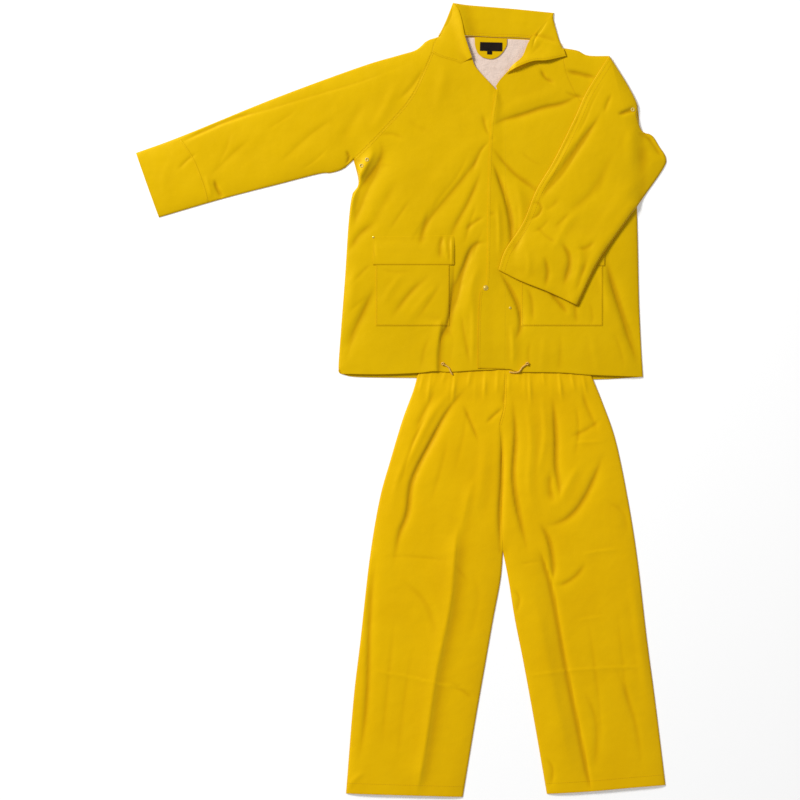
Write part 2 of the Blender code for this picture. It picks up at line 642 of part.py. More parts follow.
front_r = join_runs(edge["collar_seam_r"], edge["collar_end_r"], edge["front_r_v"], edge["centre_front"],
                    edge["front_r_hem"], edge["side_r"], edge["raglan_r"])
front_l = join_runs(edge["front_l_v"], edge["front_l_neck"], edge["raglan_l"], edge["side_l"],
                    edge["front_l_hem"], edge["centre_front"])
body_outline = join_runs(edge["neck_seam"], edge["raglan_l"], edge["side_l"], edge["back_hem"],
                         edge["side_r"], edge["raglan_r"], edge["collar_seam_side_r"])
head_outline = join_runs(edge["shoulder_l"], edge["head_fold_l"], edge["raglan_l"])
sleeve_r = join_runs(edge["sleeve_r_top"], edge["sleeve_r_cuff"], edge["sleeve_r_under"], edge["raglan_r"],
                     edge["collar_seam_side_r"])
storm_outline = join_runs(edge["storm_edge"], edge["storm_hem"], edge["storm_seam"])
arm_l = join_runs(edge["arm_l_outer"], edge["arm_l_cuff"], edge["arm_l_inner"])
collar_back = join_runs(edge["collar_top"], edge["collar_outer_l"], edge["neck_seam"], edge["collar_outer_r"])
collar_r = join_runs(edge["collar_outer_r"], edge["collar_seam_side_r"], edge["collar_seam_r"],
                     edge["collar_end_r"], edge["collar_inner_r"])
collar_l = join_runs(edge["collar_inner_l"], edge["collar_lower_l"], smooth_run([(566, 56.5), (563, 48)]),
                     edge["collar_outer_l"])

over_trousers = Heights.of(trouser_top).grown(1.45 * BODY_STEP)
over_body = Heights.of(body_top).grown(1.5 * STORM_STEP)
over_stack = Heights.of(stack_top).grown(1.45 * SLEEVE_STEP)
over_all = Heights.of(upper_top).grown(0.007)
over_collar_bed = Heights.of(collar_bed_top).grown(1.4 * COLLAR_STEP)


def ring(corners, step=0.024):
    """The straight sides of a pocket or its flap, as one closed line."""
    sides = [smooth_run(pair, step) for pair in zip(corners, corners[1:] + corners[:1])]
    return np.vstack([sides[0]] + [side[1:] for side in sides[1:]])


def flat(height):
    """A piece that lies level at a height."""
    return lambda p: np.full(len(p), height)


step_levels = [place([(0, y)])[0, 1] for y in STEP_UP_Y]
trouser_lines = fold_lines(TROUSER_FOLDS, 0.024)
pleat_lines = [fold_line(f, 0.034) for f in pleats + valleys]

panel("jacket_back", body_outline, PLAIN_STEP, flat(0.0), YELLOW)
panel("collar_back", collar_back, PLAIN_STEP, flat(0.0), YELLOW)
panel("sleeve_right_back", sleeve_r, PLAIN_STEP, flat(0.0), YELLOW)
panel("sleeve_left_head_back", head_outline, PLAIN_STEP, flat(0.0), YELLOW)
panel("trouser_back_right", leg_r, PLAIN_STEP, seat, BRIGHT_YELLOW, levels=step_levels)
panel("trouser_back_left", leg_l, PLAIN_STEP, seat, BRIGHT_YELLOW, levels=step_levels)
panel("trouser_front_right", leg_r, LEG_STEP, trouser_front_under, BRIGHT_YELLOW,
      trouser_lines + pleat_lines, step_levels)
panel("trouser_front_left", leg_l, LEG_STEP, trouser_front_under, BRIGHT_YELLOW,
      trouser_lines + pleat_lines, step_levels)
panel("waistband_back", band, PLAIN_STEP, seat, BRIGHT_YELLOW)
panel("waistband_front", band, LEG_STEP, waistband_under, BRIGHT_YELLOW)

front_lines = fold_lines(FRONT_FOLDS)
rings_r = [ring(POCKET_R), ring(POCKET_FLAP_R)]
rings_l = [ring(POCKET_L), ring(POCKET_FLAP_L)]
net_r, tris_r = panel("jacket_front_right", front_r, BODY_STEP, front_under, YELLOW, front_lines + rings_r)
net_l, tris_l = panel("jacket_front_left", front_l, BODY_STEP, front_under, YELLOW, front_lines + rings_l)
for side, net, tris, pocket, flap in (("right", net_r, tris_r, POCKET_R, POCKET_FLAP_R),
                                      ("left", net_l, tris_l, POCKET_L, POCKET_FLAP_L)):
    patch("pocket_" + side, net, tris, place(pocket), lambda p: front_top(p) + SEAM_GAP, THIN_CLOTH, YELLOW)
    patch("pocket_flap_" + side, net, tris, place(flap),
          lambda p: front_top(p) + 2 * SEAM_GAP + THIN_CLOTH, THIN_CLOTH, YELLOW)
panel("storm_flap", storm_outline, STORM_STEP, storm_under, YELLOW)

panel("sleeve_right_front", sleeve_r, SLEEVE_STEP, front_under, YELLOW, fold_lines(SLEEVE_R_FOLDS))
panel("sleeve_left_head_front", head_outline, SLEEVE_STEP, front_under, YELLOW, front_lines)
net_arm, tris_arm = panel("sleeve_left_front", arm_l, SLEEVE_STEP, arm_front_under, YELLOW,
                          fold_lines(ARM_L_FOLDS))
wall("sleeve_left_back", net_arm, tris_arm, arm_under(net_arm), CLOTH, YELLOW)
panel("collar_right", collar_r, COLLAR_STEP, front_under, YELLOW)
panel("collar_left", collar_l, COLLAR_STEP, collar_left_under, YELLOW)

level = CLOTH + SEAM_GAP
panel("back_lining", join_runs(place(LINING_EDGE + LINING_EDGE[:1])), 0.04, flat(level), LINING,
      thickness=THIN_CLOTH, roughness=0.7)
level += THIN_CLOTH + SEAM_GAP
panel("neck_patch", join_runs(place(HALF_MOON + HALF_MOON[:1])), 0.04, flat(level), YELLOW,
      thickness=THIN_CLOTH)
level += THIN_CLOTH + SEAM_GAP
panel("neck_label", place(NECK_LABEL)[::-1], 0.05, flat(level), LABEL, thickness=0.001, roughness=0.8)
panel("size_tab", place(SIZE_TAB)[::-1], 0.05, flat(level), LABEL, thickness=0.001, roughness=0.8)


def on_storm(p):
    """Upper face of the storm flap."""
    return storm_under(p) + CLOTH


def fitting_on(name, x, y, top, radius, hole=0.0, settle=0.0, colour=BRASS):
    """A stud or an eyelet on the cloth at a place on the sheet, settled into it where the cloth slopes."""
    centre = place([(x, y)])
    angle = np.arange(16) * (np.pi / 8)
    under_it = np.vstack((centre, centre + 1.3 * radius * np.column_stack((np.cos(angle), np.sin(angle)))))
    base = top(under_it).max() + SEAM_GAP - settle
    round_fitting(name, centre[0], base, radius, hole, METAL_HEIGHT, colour)


fitting_on("storm_stud", 485.6, 288, on_storm, STUD_RADIUS)
fitting_on("front_stud", 511, 308, body_top, STUD_RADIUS * 0.55)
fitting_on("vent_eyelet_1", 361.5, 166, body_top, EYELET_RADIUS, EYELET_HOLE)
fitting_on("vent_eyelet_2", 367, 160, body_top, EYELET_RADIUS, EYELET_HOLE)
fitting_on("vent_eyelet_3", 632.5, 110, lambda p: arm_front_under(p) + CLOTH, EYELET_RADIUS, EYELET_HOLE,
           settle=0.0008)
cord("hem_cord_right", HEM_CORD_R)
cord("hem_cord_left", HEM_CORD_L)
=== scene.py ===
from collections import namedtuple

import bpy
import numpy as np
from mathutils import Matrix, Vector


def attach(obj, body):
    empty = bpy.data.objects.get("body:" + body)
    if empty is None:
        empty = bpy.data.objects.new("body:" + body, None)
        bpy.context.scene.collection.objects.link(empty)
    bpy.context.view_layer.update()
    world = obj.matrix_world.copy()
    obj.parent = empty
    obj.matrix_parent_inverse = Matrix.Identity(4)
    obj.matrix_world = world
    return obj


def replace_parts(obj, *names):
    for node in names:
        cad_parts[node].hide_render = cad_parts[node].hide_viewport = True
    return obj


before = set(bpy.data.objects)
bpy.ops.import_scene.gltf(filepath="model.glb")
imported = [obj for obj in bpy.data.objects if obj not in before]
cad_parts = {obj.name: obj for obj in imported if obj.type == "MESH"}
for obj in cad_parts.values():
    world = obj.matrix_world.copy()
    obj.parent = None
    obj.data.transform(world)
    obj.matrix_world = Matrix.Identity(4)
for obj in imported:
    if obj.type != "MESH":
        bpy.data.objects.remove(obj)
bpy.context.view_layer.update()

# Places are on the layout sheet, in squares of 2.3 mm, x to the right and y down. Heights are in metres.
SQUARE = 0.0023
SHEET_MID = np.array((400.85, 399.85))
MM = 0.001

# Cloth and its layers. LOFT is how far an upper layer puffs up over a lower one away from the folds.
CLOTH = 0.0012
POCKET_CLOTH = 0.0006
LABEL_CLOTH = 0.0006
PATCH_CLOTH = 0.0009
LINING_CLOTH = 0.0010
WELT_CLOTH = 0.0004
SEAM_GAP = 0.0003
LAYER = 2 * CLOTH + SEAM_GAP
LOFT = 0.0048
LEG_STEP_UP = CLOTH + SEAM_GAP

# A folded edge: the height it starts at, the width of its roll, and how slowly the loft builds up behind it.
EDGE_START = 0.0004
ROLL = 0.0040
EDGE_ROUND = 0.019
PRESSED_ROLL = 0.0012
PRESSED_ROUND = 0.040
COLLAR_ROLL = 0.006
COLLAR_TOP_ROLL = 0.0035

# Distances are measured no further than this.
NEAR = 0.06
FAR = 0.08

# Spacing of a piece's points, for creased pieces and for plain ones, and the closer rows at its rims.
STEP = 0.0033
PLAIN_STEP = 0.012
RIM_ROWS = np.array((0.0, 0.0007, 0.0018, 0.0034, 0.0055))
RIM = np.array((0.0, 0.0012, 0.003))
EDGE_INSET = 0.0022
FOLDED_SIDES = (0, EDGE_INSET, 0, EDGE_INSET)

# Spacing of a line's points: along a piece's edge, for distances from it, and along creases and cords.
LINE_STEP = 0.004
COARSE_STEP = 0.01
CREASE_STEP = 0.008
CORD_STEP = 0.0012
SIZE_STEP = 0.02

# Sewn edges are drawn down a little and get painted shade. A point below the mean of the points about it gets
# painted shade too, as a crease's shade: HOLLOW_REACH is how many points away they are at most, and
# HOLLOW_TONE the share of the deep, shaded colour.
SEWN_DROP = 0.00020
SEWN_WIDTH = 0.0016
SEWN_TONE_WIDTH = 0.0022
HOLLOW_DEPTH = 0.0011
HOLLOW_REACH = 10
HOLLOW_TONE = 0.50

# How far pieces stand off what they lie on, or over the floor.
STORM_STAND = 0.0014
UNDER_FLAP_DIP = 0.0016
POCKET_STAND = POCKET_CLOTH + 0.0002
FLAP_STAND = 2 * POCKET_CLOTH + 0.0003
FLAP_OVER = 0.0014
POCKET_OVER = 0.0007
ARM_STAND = 0.0036
COLLAR_STAND = 0.0062
LINING_HEIGHT = 0.0030
MOON_HEIGHT = 0.0048
LABEL_HEIGHT = 0.0062

# The draw cord: a yarn with lobes that turn by YARN_TWIST radians in a metre.
CORD_RADIUS = 0.0016
KNOT_RADIUS = 0.0040
KNOT_CORD_RADIUS = 0.0014
YARN_LOBES = 3
LOBE_HEIGHT = 0.14
YARN_TWIST = 420.0

# The camera hangs straight over the middle of the set, and the floor lies just under it.
CAMERA_HEIGHT = 6.0
FRAME_WIDTH = 800 * SQUARE
FILM = 36.0
FLOOR_HALF = 9.0
FLOOR_HEIGHT = -0.0002


# Lines and points on the layout sheet

# How many distances are worked out at once.
AT_ONCE = 1500000


def place(points):
    """Places on the layout sheet as metres from the middle of the set."""
    sheet = np.array(points, dtype=float)
    return (sheet - SHEET_MID) * (SQUARE, -SQUARE)


def smooth(points, step=LINE_STEP):
    """A smooth line through listed places: each span is the cubic that its neighbours' chords steer."""
    p = place(points)
    padded = np.vstack((2 * p[0] - p[1], p, 2 * p[-1] - p[-2]))
    out = [p[:1]]
    for i in range(len(p) - 1):
        a, b, c, d = padded[i:i + 4]
        count = max(1, int(round(np.linalg.norm(c - b) / step)))
        t = np.linspace(0, 1, count + 1)[1:, None]
        out.append((2 * b + (c - a) * t + (2 * a - 5 * b + 4 * c - d) * t ** 2
                    + (3 * b - a - 3 * c + d) * t ** 3) / 2)
    return np.vstack(out)


def coarse(points):
    """The same line with fewer points, to measure distances from."""
    return smooth(points, COARSE_STEP)


def sheet_x(p):
    """x on the sheet: the distance from the set's middle in squares, added to the sheet's middle."""
    return p[:, 0] / SQUARE + SHEET_MID[0]


def sheet_y(p):
    """y on the sheet: the distance from the set's middle in squares, taken from the sheet's middle."""
    return SHEET_MID[1] - p[:, 1] / SQUARE


def length_along(line):
    """Distance from the line's start to each of its points."""
    return np.concatenate(([0.0], np.cumsum(np.linalg.norm(np.diff(line, axis=0), axis=1))))


def side(s, tables):
    """Points at the fractions s along tables of places joined end to end, with each joint kept as a point."""
    runs = [smooth(table) for table in tables]
    line = np.vstack([runs[0]] + [run[1:] for run in runs[1:]])
    far = length_along(line)
    out = np.column_stack([np.interp(s * far[-1], far, line[:, k]) for k in (0, 1)])
    joint = 0
    for run in runs[:-1]:
        joint += len(run) - 1
        nearest = 1 + np.argmin(np.abs(s[1:-1] - far[joint] / far[-1]))
        out[nearest] = run[-1]
    return out


def stations(length, step, rim=RIM_ROWS):
    """Fractions from 0 to 1 for an even step, with closer ones at the two ends for a rounded edge."""
    count = max(3, int(round((length - 2 * rim[-1]) / step)) + 1)
    middle = np.linspace(rim[-1], length - rim[-1], count)
    return np.concatenate((rim[:-1], middle, length - rim[-2::-1])) / length


def fill(low, right, high, left, step, rim=RIM_ROWS, inset=(0, 0, 0, 0)):
    """A grid over a four-sided piece: each point is what its row's two ends and its column's two ends say,
    added, less what the four corners say. low and high run left to right, left and right run low to high."""
    runs = [np.vstack([smooth(t, SIZE_STEP) for t in tables]) for tables in (low, right, high, left)]
    sizes = [length_along(run)[-1] for run in runs]
    s = stations(max(sizes[0], sizes[2]), step, rim)
    t = stations(max(sizes[1], sizes[3]), step, rim)
    b, r, h, a = side(s, low), side(t, right), side(s, high), side(t, left)
    s, t = s[None, :, None], t[:, None, None]
    corners = (1 - s) * (1 - t) * b[0] + s * (1 - t) * b[-1] + (1 - s) * t * h[0] + s * t * h[-1]
    grid = (1 - t) * b[None] + t * h[None] + (1 - s) * a[:, None] + s * r[:, None] - corners
    return pulled_in(grid, inset)


def pulled_in(grid, inset):
    """The grid with its low, right, high and left sides moved inwards, easing out over the grid."""
    low, right, high, left = inset
    across = grid[:, -1:] - grid[:, :1]
    across /= np.maximum(np.linalg.norm(across, axis=2), 1e-6)[..., None]
    up = grid[-1:] - grid[:1]
    up /= np.maximum(np.linalg.norm(up, axis=2), 1e-6)[..., None]
    s = np.linspace(0, 1, grid.shape[1])[None, :, None]
    t = np.linspace(0, 1, grid.shape[0])[:, None, None]
    return grid + across * (left * (1 - s) - right * s) + up * (low * (1 - t) - high * t)


def reach(p, line, widest=FAR):
    """Distance of each point from a line, or widest where it is further than that."""
    out = np.full(len(p), widest)
    near = np.all((p > line.min(axis=0) - widest) & (p < line.max(axis=0) + widest), axis=1)
    a, along = line[:-1], np.diff(line, axis=0)
    span = np.maximum(np.sum(along * along, axis=1), 1e-14)
    chosen = np.flatnonzero(near)
    for part in np.array_split(chosen, max(1, len(chosen) * len(a) // AT_ONCE)):
        gap = p[part][:, None] - a
        t = np.clip(np.sum(gap * along, axis=2) / span, 0, 1)
        out[part] = np.sqrt(np.min(np.sum((gap - t[..., None] * along) ** 2, axis=2), axis=1))
    return np.minimum(out, widest)


def nearest_of(p, lines):
    """Distance of each point from the nearest of some lines."""
    return np.min([reach(p, line) for line in lines], axis=0)


def inside(loop, p):
    """Which of the points lie inside a closed outline, counting its crossings of a ray."""
    x0, y0 = loop.T
    x1, y1 = np.roll(loop, -1, axis=0).T
    rise = np.where(y1 == y0, 1e-12, y1 - y0)
    out = np.zeros(len(p), bool)
    box = np.flatnonzero(np.all((p >= loop.min(axis=0)) & (p <= loop.max(axis=0)), axis=1))
    for part in np.array_split(box, max(1, len(box) * len(loop) // AT_ONCE)):
        px, py = p[part, 0][:, None], p[part, 1][:, None]
        crosses = ((y0 > py) != (y1 > py)) & (px < x0 + (py - y0) * (x1 - x0) / rise)
        out[part] = crosses.sum(axis=1) % 2 == 1
    return out


def loop_of(*tables):
    """One closed outline from tables that meet end to end, each turned round where it has to."""
    loop = coarse(tables[0])
    for table in tables[1:]:
        run = coarse(table)
        if np.linalg.norm(run[0] - loop[-1]) > np.linalg.norm(run[-1] - loop[-1]):
            run = run[::-1]
        loop = np.vstack((loop, run[1:]))
    return loop


def ease(x):
    """0 to 1 with level ends: three times the square less twice the cube."""
    x = np.clip(x, 0, 1)
    return x * x * (3 - 2 * x)


def rising(p, start, end):
    """0 to 1, with level ends, as y on the sheet goes from start to end."""
    return ease((sheet_y(p) - start) / (end - start))


def hump(away, height, width, centre=0.0, point=2):
    """A rise at a distance from a line: it falls off as e to the minus a power of the widths it is off."""
    return height * np.exp(-((away - centre) / width) ** point)


def oblong(corners):
    """The four sides of a straight-sided piece from its corners: top left, top right, low right, low left."""
    a, b, c, d = corners
    return [[d, c]], [[c, b]], [[a, b]], [[d, a]]


# Edges of the pieces. Neighbours share them, so their seams match.
COLLAR_TOP = [(453, 3), (471, 5.4), (514, 9), (554, 13)]
COLLAR_OUTER_R = [(453, 3), (445, 23), (438, 37)]
COLLAR_OUTER_L = [(554, 13), (553.5, 19), (559, 39), (563, 48)]
COLLAR_SEAM_SIDE_R = [(438, 37), (434, 44), (432, 53)]
COLLAR_SEAM_R = [(432, 53), (441.5, 57.6), (455.5, 61.5), (461, 64)]
COLLAR_END_R = [(461, 64), (472, 58)]
COLLAR_INNER_R = [(454, 3.4), (458.5, 10), (462, 22), (465, 37), (472, 58)]
COLLAR_INNER_L = [(553, 13.3), (544, 23), (533, 35.5), (527.5, 44), (522, 57), (512, 66), (506, 74)]
COLLAR_LOWER_L = [(506, 74), (518, 67.5), (533, 62), (547, 61), (566, 56.5)]
COLLAR_TIP_L = [(566, 56.5), (563, 48)]
NECK_SEAM = [(438, 37), (464, 36), (497, 37.5), (530, 39), (563, 48)]
SLEEVE_R_TOP = [(438, 37), (427, 41), (416, 50), (400, 55), (360, 67), (273, 99), (181, 136.5), (136, 153)]
SLEEVE_R_CUFF = [(136, 153), (148, 187), (159, 217.5)]
SLEEVE_R_UNDER = [(159, 217.5), (224, 198.5), (280, 184), (319, 174), (331, 173), (343, 169), (353.6, 160)]
RAGLAN_R = [(353.6, 160), (376, 138), (409, 101), (424, 72), (432, 53)]
SIDE_R = [(353.6, 160), (358.5, 183), (352, 196), (348.5, 224), (345, 278), (341, 330), (338.5, 368),
          (341, 374)]
FRONT_R_HEM = [(341, 374), (380, 374.4), (418, 373), (434, 371.3), (450, 372), (479, 370.2), (497, 370)]
FRONT_R_V = [(472, 58), (476.5, 68.5), (494.5, 88)]
CENTRE_FRONT = [(494.5, 88), (497, 104), (497, 230), (497, 370)]
FRONT_L_V = [(496.8, 89), (495.6, 87), (500, 80), (508, 71)]
FRONT_L_NECK = [(508, 71), (528, 58), (546, 53), (563, 48)]
FRONT_L_HEM = [(497, 369.6), (505, 369.2), (511, 369.5), (520, 372), (560, 372.7), (591, 375), (643, 377)]
SIDE_L = [(636, 158), (637, 208), (638, 250), (639, 300), (641, 345), (643, 377)]
RAGLAN_L = [(563, 48), (566, 72), (580, 101), (612, 138), (636, 158)]
SHOULDER_L = [(563, 48), (577.6, 50.7), (588, 55.5), (609, 56)]
HEAD_FOLD_L = [(609, 56), (627, 86), (637, 105), (639, 131), (636, 158)]
BACK_HEM = [(341, 374), (356, 377), (418, 378), (497, 378.5), (591, 379.6), (643, 377)]
ARM_L_OUTER = [(609.6, 56.4), (627, 84), (637, 104.5), (636.8, 116), (642, 131), (652, 135.5), (659, 146),
               (666, 158), (663, 169), (643, 198), (613, 241), (596.5, 266), (577.5, 306)]
ARM_L_CUFF = [(498, 270), (520, 281), (550, 293), (577.5, 306)]
ARM_L_INNER = [(498, 270), (505, 250), (523, 222), (536, 190), (553, 161.5), (574, 119), (586, 92.5),
               (608.4, 56.4)]
WAIST = [(422, 336), (587, 336), (587, 350), (422, 350)]
WAIST_SEAM_R = [(422, 350), (505, 350)]
WAIST_SEAM_L = [(505, 350), (587, 350)]
RISE = [(505, 350), (505, 374), (504.5, 405), (500, 425), (501.5, 450), (502, 475), (501.5, 519), (503, 552)]
INSEAM_R = [(503, 552), (500.5, 580), (493, 620), (486, 660), (475.5, 720), (462.8, 796.7)]
INSEAM_L = [(503, 552), (508.5, 580), (515, 620), (523, 660), (534, 720), (546.8, 793.7)]
LEG_HEM_R = [(346, 793.3), (420, 795.4), (462.8, 796.7)]
LEG_HEM_L = [(546.8, 793.7), (591, 791), (630, 787.5), (665.5, 784.8)]
OUTSEAM_R = [(346, 793.3), (353.5, 700), (360.5, 640), (369.5, 560), (379.5, 500), (390.5, 460),
             (402.5, 420), (413.5, 390), (418, 372), (422, 350)]
OUTSEAM_L = [(665.5, 784.8), (655, 700), (647, 640), (637.5, 560), (628, 500), (615.5, 440),
             (601.5, 400), (590.5, 372), (587, 350)]
STORM_EDGE = [(496, 90), (490.5, 130), (488, 200), (486.5, 280), (480, 292), (478, 330), (477.5, 368.5)]
STORM_HEM = [(477.5, 368.5), (505, 369.2)]
STORM_SEAM = [(505, 369.2), (505.5, 240), (505, 120), (502, 98), (496.8, 89)]
POCKET_R = [(375.7, 244), (449.5, 244), (449.5, 326), (375.7, 326)]
POCKET_FLAP_R = [(373, 237), (454.5, 235.5), (454.5, 265), (373, 265)]
POCKET_L = [(521, 244), (602.5, 244), (602.5, 326), (521, 326)]
POCKET_FLAP_L = [(519, 237), (604.5, 237), (604.5, 266), (519, 265)]
HEM_CORD_R = [(452.6, 375), (450.5, 371.5), (448.5, 367.5), (444, 364.5)]
HEM_CORD_L = [(509, 372), (514, 372.6), (519, 371.6), (522, 367.5), (526, 364.5)]

# Creases: the line on the sheet, the width to its left and right and the height in mm, how pointed its crest
# is, and how much wider it ends than it starts. A trough has a height below 0.
# A crest more pointed than PRESSED was ironed in, and holds nearly to its ends. One more pointed than SHARP
# has longer skirts, so it is worked out for more widths. The fades are shares of a crease's length.
PRESSED = 1.25
SHARP = 1.35
SHARP_SKIRT, SOFT_SKIRT = 3.6, 2.5
PRESSED_FADE, SOFT_FADE = 0.12, 0.36
Crease = namedtuple("Crease", "line left right height point spread")

FRONT_CREASES = [
    Crease([(412, 197), (400, 214), (388, 232)], 6, 3.5, -0.7, 1.6, 0.1),
    Crease([(429, 214), (420, 228), (410, 244)], 6, 3.5, -0.6, 1.6, 0.1),
    Crease([(374, 262), (362, 272), (350, 287)], 6, 4, -0.8, 1.6, 0.1),
    Crease([(371, 296), (358, 304), (346, 316)], 6, 4, -0.7, 1.6, 0.1),
    Crease([(422, 279), (408, 294), (394, 312)], 6, 3.5, -0.6, 1.6, 0.1),
    Crease([(443, 279), (430, 300), (414, 322)], 6, 3.5, -0.6, 1.6, 0.1),
    Crease([(460, 306), (464, 336), (471, 370)], 6, 4, -1.0, 1.6, 0.1),
    Crease([(478, 200), (470, 222), (463, 248)], 6, 4, -1.0, 1.6, 0.1),
    Crease([(483, 228), (476, 246), (472, 262)], 5, 3.5, -0.7, 1.6, 0.1),
    Crease([(430, 334), (424, 350), (420, 372)], 7, 4, -0.6, 1.6, 0.1),
    Crease([(357, 330), (350, 346), (346, 362)], 6, 4, -0.6, 1.6, 0.1),
    Crease([(519, 150), (530, 160), (545, 168)], 6, 4, -0.5, 1.6, 0.1),
    Crease([(516, 198), (518, 222), (514, 246)], 6, 3.5, -0.9, 1.6, 0.1),
    Crease([(588, 300), (592, 316), (590, 330)], 6, 4, -0.6, 1.6, 0.1),
    Crease([(612, 330), (620, 350), (624, 372)], 7, 4, -0.7, 1.6, 0.1),
    Crease([(530, 338), (528, 356), (530, 374)], 6, 4, -0.6, 1.6, 0.1),
    Crease([(489, 144), (471, 168), (450, 194), (433, 215), (410, 250)], 20, 6, -2.4, 1.4, 0.3),
    Crease([(480, 134), (450, 166), (424, 198)], 18, 20, 0.9, 2.0, 0.2),
    Crease([(484, 164), (469, 200), (454, 228), (447, 250)], 12, 5.5, -2.4, 1.5, 0.3),
    Crease([(378, 136), (382.5, 152), (375, 170), (362.5, 190), (356.5, 212), (353.5, 236)],
           24, 7, -4.8, 1.6, 0.0),
    Crease([(366, 140), (372, 153), (364.5, 169), (353, 189), (348, 210), (345, 232)],
           7.0, 16, 6.5, 1.8, 0.0),
    Crease([(400, 176), (378, 214), (366, 240)], 16, 12, -1.4, 1.8, 0.2),
    Crease([(376, 221), (359, 235), (348, 254)], 16, 7, -2.4, 1.6, 0.2),
    Crease([(377, 282), (362, 314), (341, 358)], 20, 8, -3.4, 1.5, 0.3),
    Crease([(356, 262), (352, 290), (346, 318)], 12, 12, 1.2, 2.0, 0.2),
    Crease([(492, 242), (474, 245), (464, 266), (457, 286), (449, 318)], 12, 5.0, -5.0, 1.4, 0.2),
    Crease([(480, 262), (472, 285), (466, 320)], 10, 10, 1.8, 1.8, 0.2),
    Crease([(453.5, 250), (452.5, 290), (448, 322), (441, 342), (438.5, 366), (438, 392)],
           20, 4.4, -4.8, 1.4, 0.1),
    Crease([(472, 286), (473, 330), (472, 374)], 6, 6, 1.4, 1.8, 0.1),
    Crease([(441.5, 318), (438.5, 345), (437.5, 366), (437, 392)], 2.8, 22, 3.4, 1.2, 0.0),
    Crease([(486, 131), (501, 121), (521, 115), (543, 107.5), (563, 103), (586, 91)],
           4.6, 12, -3.6, 1.3, -0.1),
    Crease([(496, 118), (516, 106), (545, 96), (572, 84)], 16, 13, 1.2, 2.0, 0.2),
    Crease([(489, 142), (499, 157), (514, 174), (530, 186), (548, 200)], 12, 5, -2.8, 1.4, 0.3),
    Crease([(490, 156), (499, 180), (506, 201), (511, 229), (509, 258)], 12, 4.8, -6.0, 1.4, 0.2),
    Crease([(514, 178), (521, 204), (521, 236)], 10, 10, 1.8, 1.8, 0.1),
    Crease([(497, 196), (499, 228), (499, 262)], 6, 6, 1.6, 1.8, 0.1),
    Crease([(497, 268), (509, 288), (518, 308), (520, 326), (513, 345)], 11, 4.4, -5.0, 1.4, 0.2),
    Crease([(511, 322), (513, 346), (513, 372)], 7, 6, 1.8, 1.7, 0.1),
    Crease([(604, 250), (610, 278), (620, 310), (631, 345), (640, 376)], 16, 6.5, -4.8, 1.5, 0.2),
    Crease([(598, 262), (606, 292), (612, 322)], 10, 10, 1.6, 2.0, 0.2),
    Crease([(546, 288), (557, 301), (569, 316)], 8, 4, -3.2, 1.4, 0.2),
    Crease([(524, 284), (531, 300), (532, 328)], 8, 5, -1.6, 1.6, 0.2),
    Crease([(578, 296), (575, 310), (577, 326)], 7, 6, -1.4, 1.8, 0.2),
    Crease([(539, 68), (546, 79), (556, 84)], 6, 4, -2.6, 1.5, 0.1),
    Crease([(562, 70), (580, 74), (600, 79)], 4.5, 8, -3.2, 1.6, 0.1),
    Crease([(564, 92), (575, 96), (586, 98)], 4, 6, -1.6, 1.6, 0.1),
    Crease([(448, 62), (442, 84), (436, 116)], 14, 14, 1.2, 2.0, 0.2),
    Crease([(376, 136), (392, 134), (408, 140)], 5, 8, -0.9, 1.6, 0.1),
    Crease([(405, 118), (420, 128), (438, 134)], 8, 12, -0.5, 1.8, 0.1),
    Crease([(432, 272), (410, 294), (386, 324)], 9, 7, -1.2, 1.8, 0.2),
    Crease([(440, 282), (420, 304), (404, 328)], 9, 8, 0.9, 1.8, 0.2),
    Crease([(404, 272), (392, 288), (380, 308)], 7, 8, 0.8, 1.8, 0.2),
    Crease([(378, 268), (396, 272), (416, 270)], 4, 6, -0.4, 1.8, 0.2),
    Crease([(560, 332), (560, 352), (558, 376)], 8, 6, -0.7, 1.8, 0.2),
    Crease([(545, 330), (543, 350), (541, 376)], 8, 8, 0.6, 1.8, 0.2),
    Crease([(590, 332), (594, 350), (600, 378)], 9, 9, 0.7, 1.8, 0.2),
    Crease([(497, 80), (496, 104), (493, 134)], 8, 9, 1.5, 2.0, 0.1),
    Crease([(492, 139), (486, 130), (482, 112)], 5, 6, -1.6, 1.5, 0.5),
    Crease([(492, 139), (480, 152), (470, 176)], 5, 6, -1.6, 1.5, 0.5),
    Crease([(470, 150), (456, 178), (436, 204), (424, 236)], 5, 5, -0.8, 1.6, 0.2),
    Crease([(486, 216), (478, 220), (462, 232)], 6, 5, -1.6, 1.6, 0.2),
    Crease([(430, 206), (424, 228), (418, 250)], 9, 6, -1.8, 1.7, 0.2),
    Crease([(444, 232), (440, 246), (440, 262)], 6, 5, -1.6, 1.7, 0.1),
]
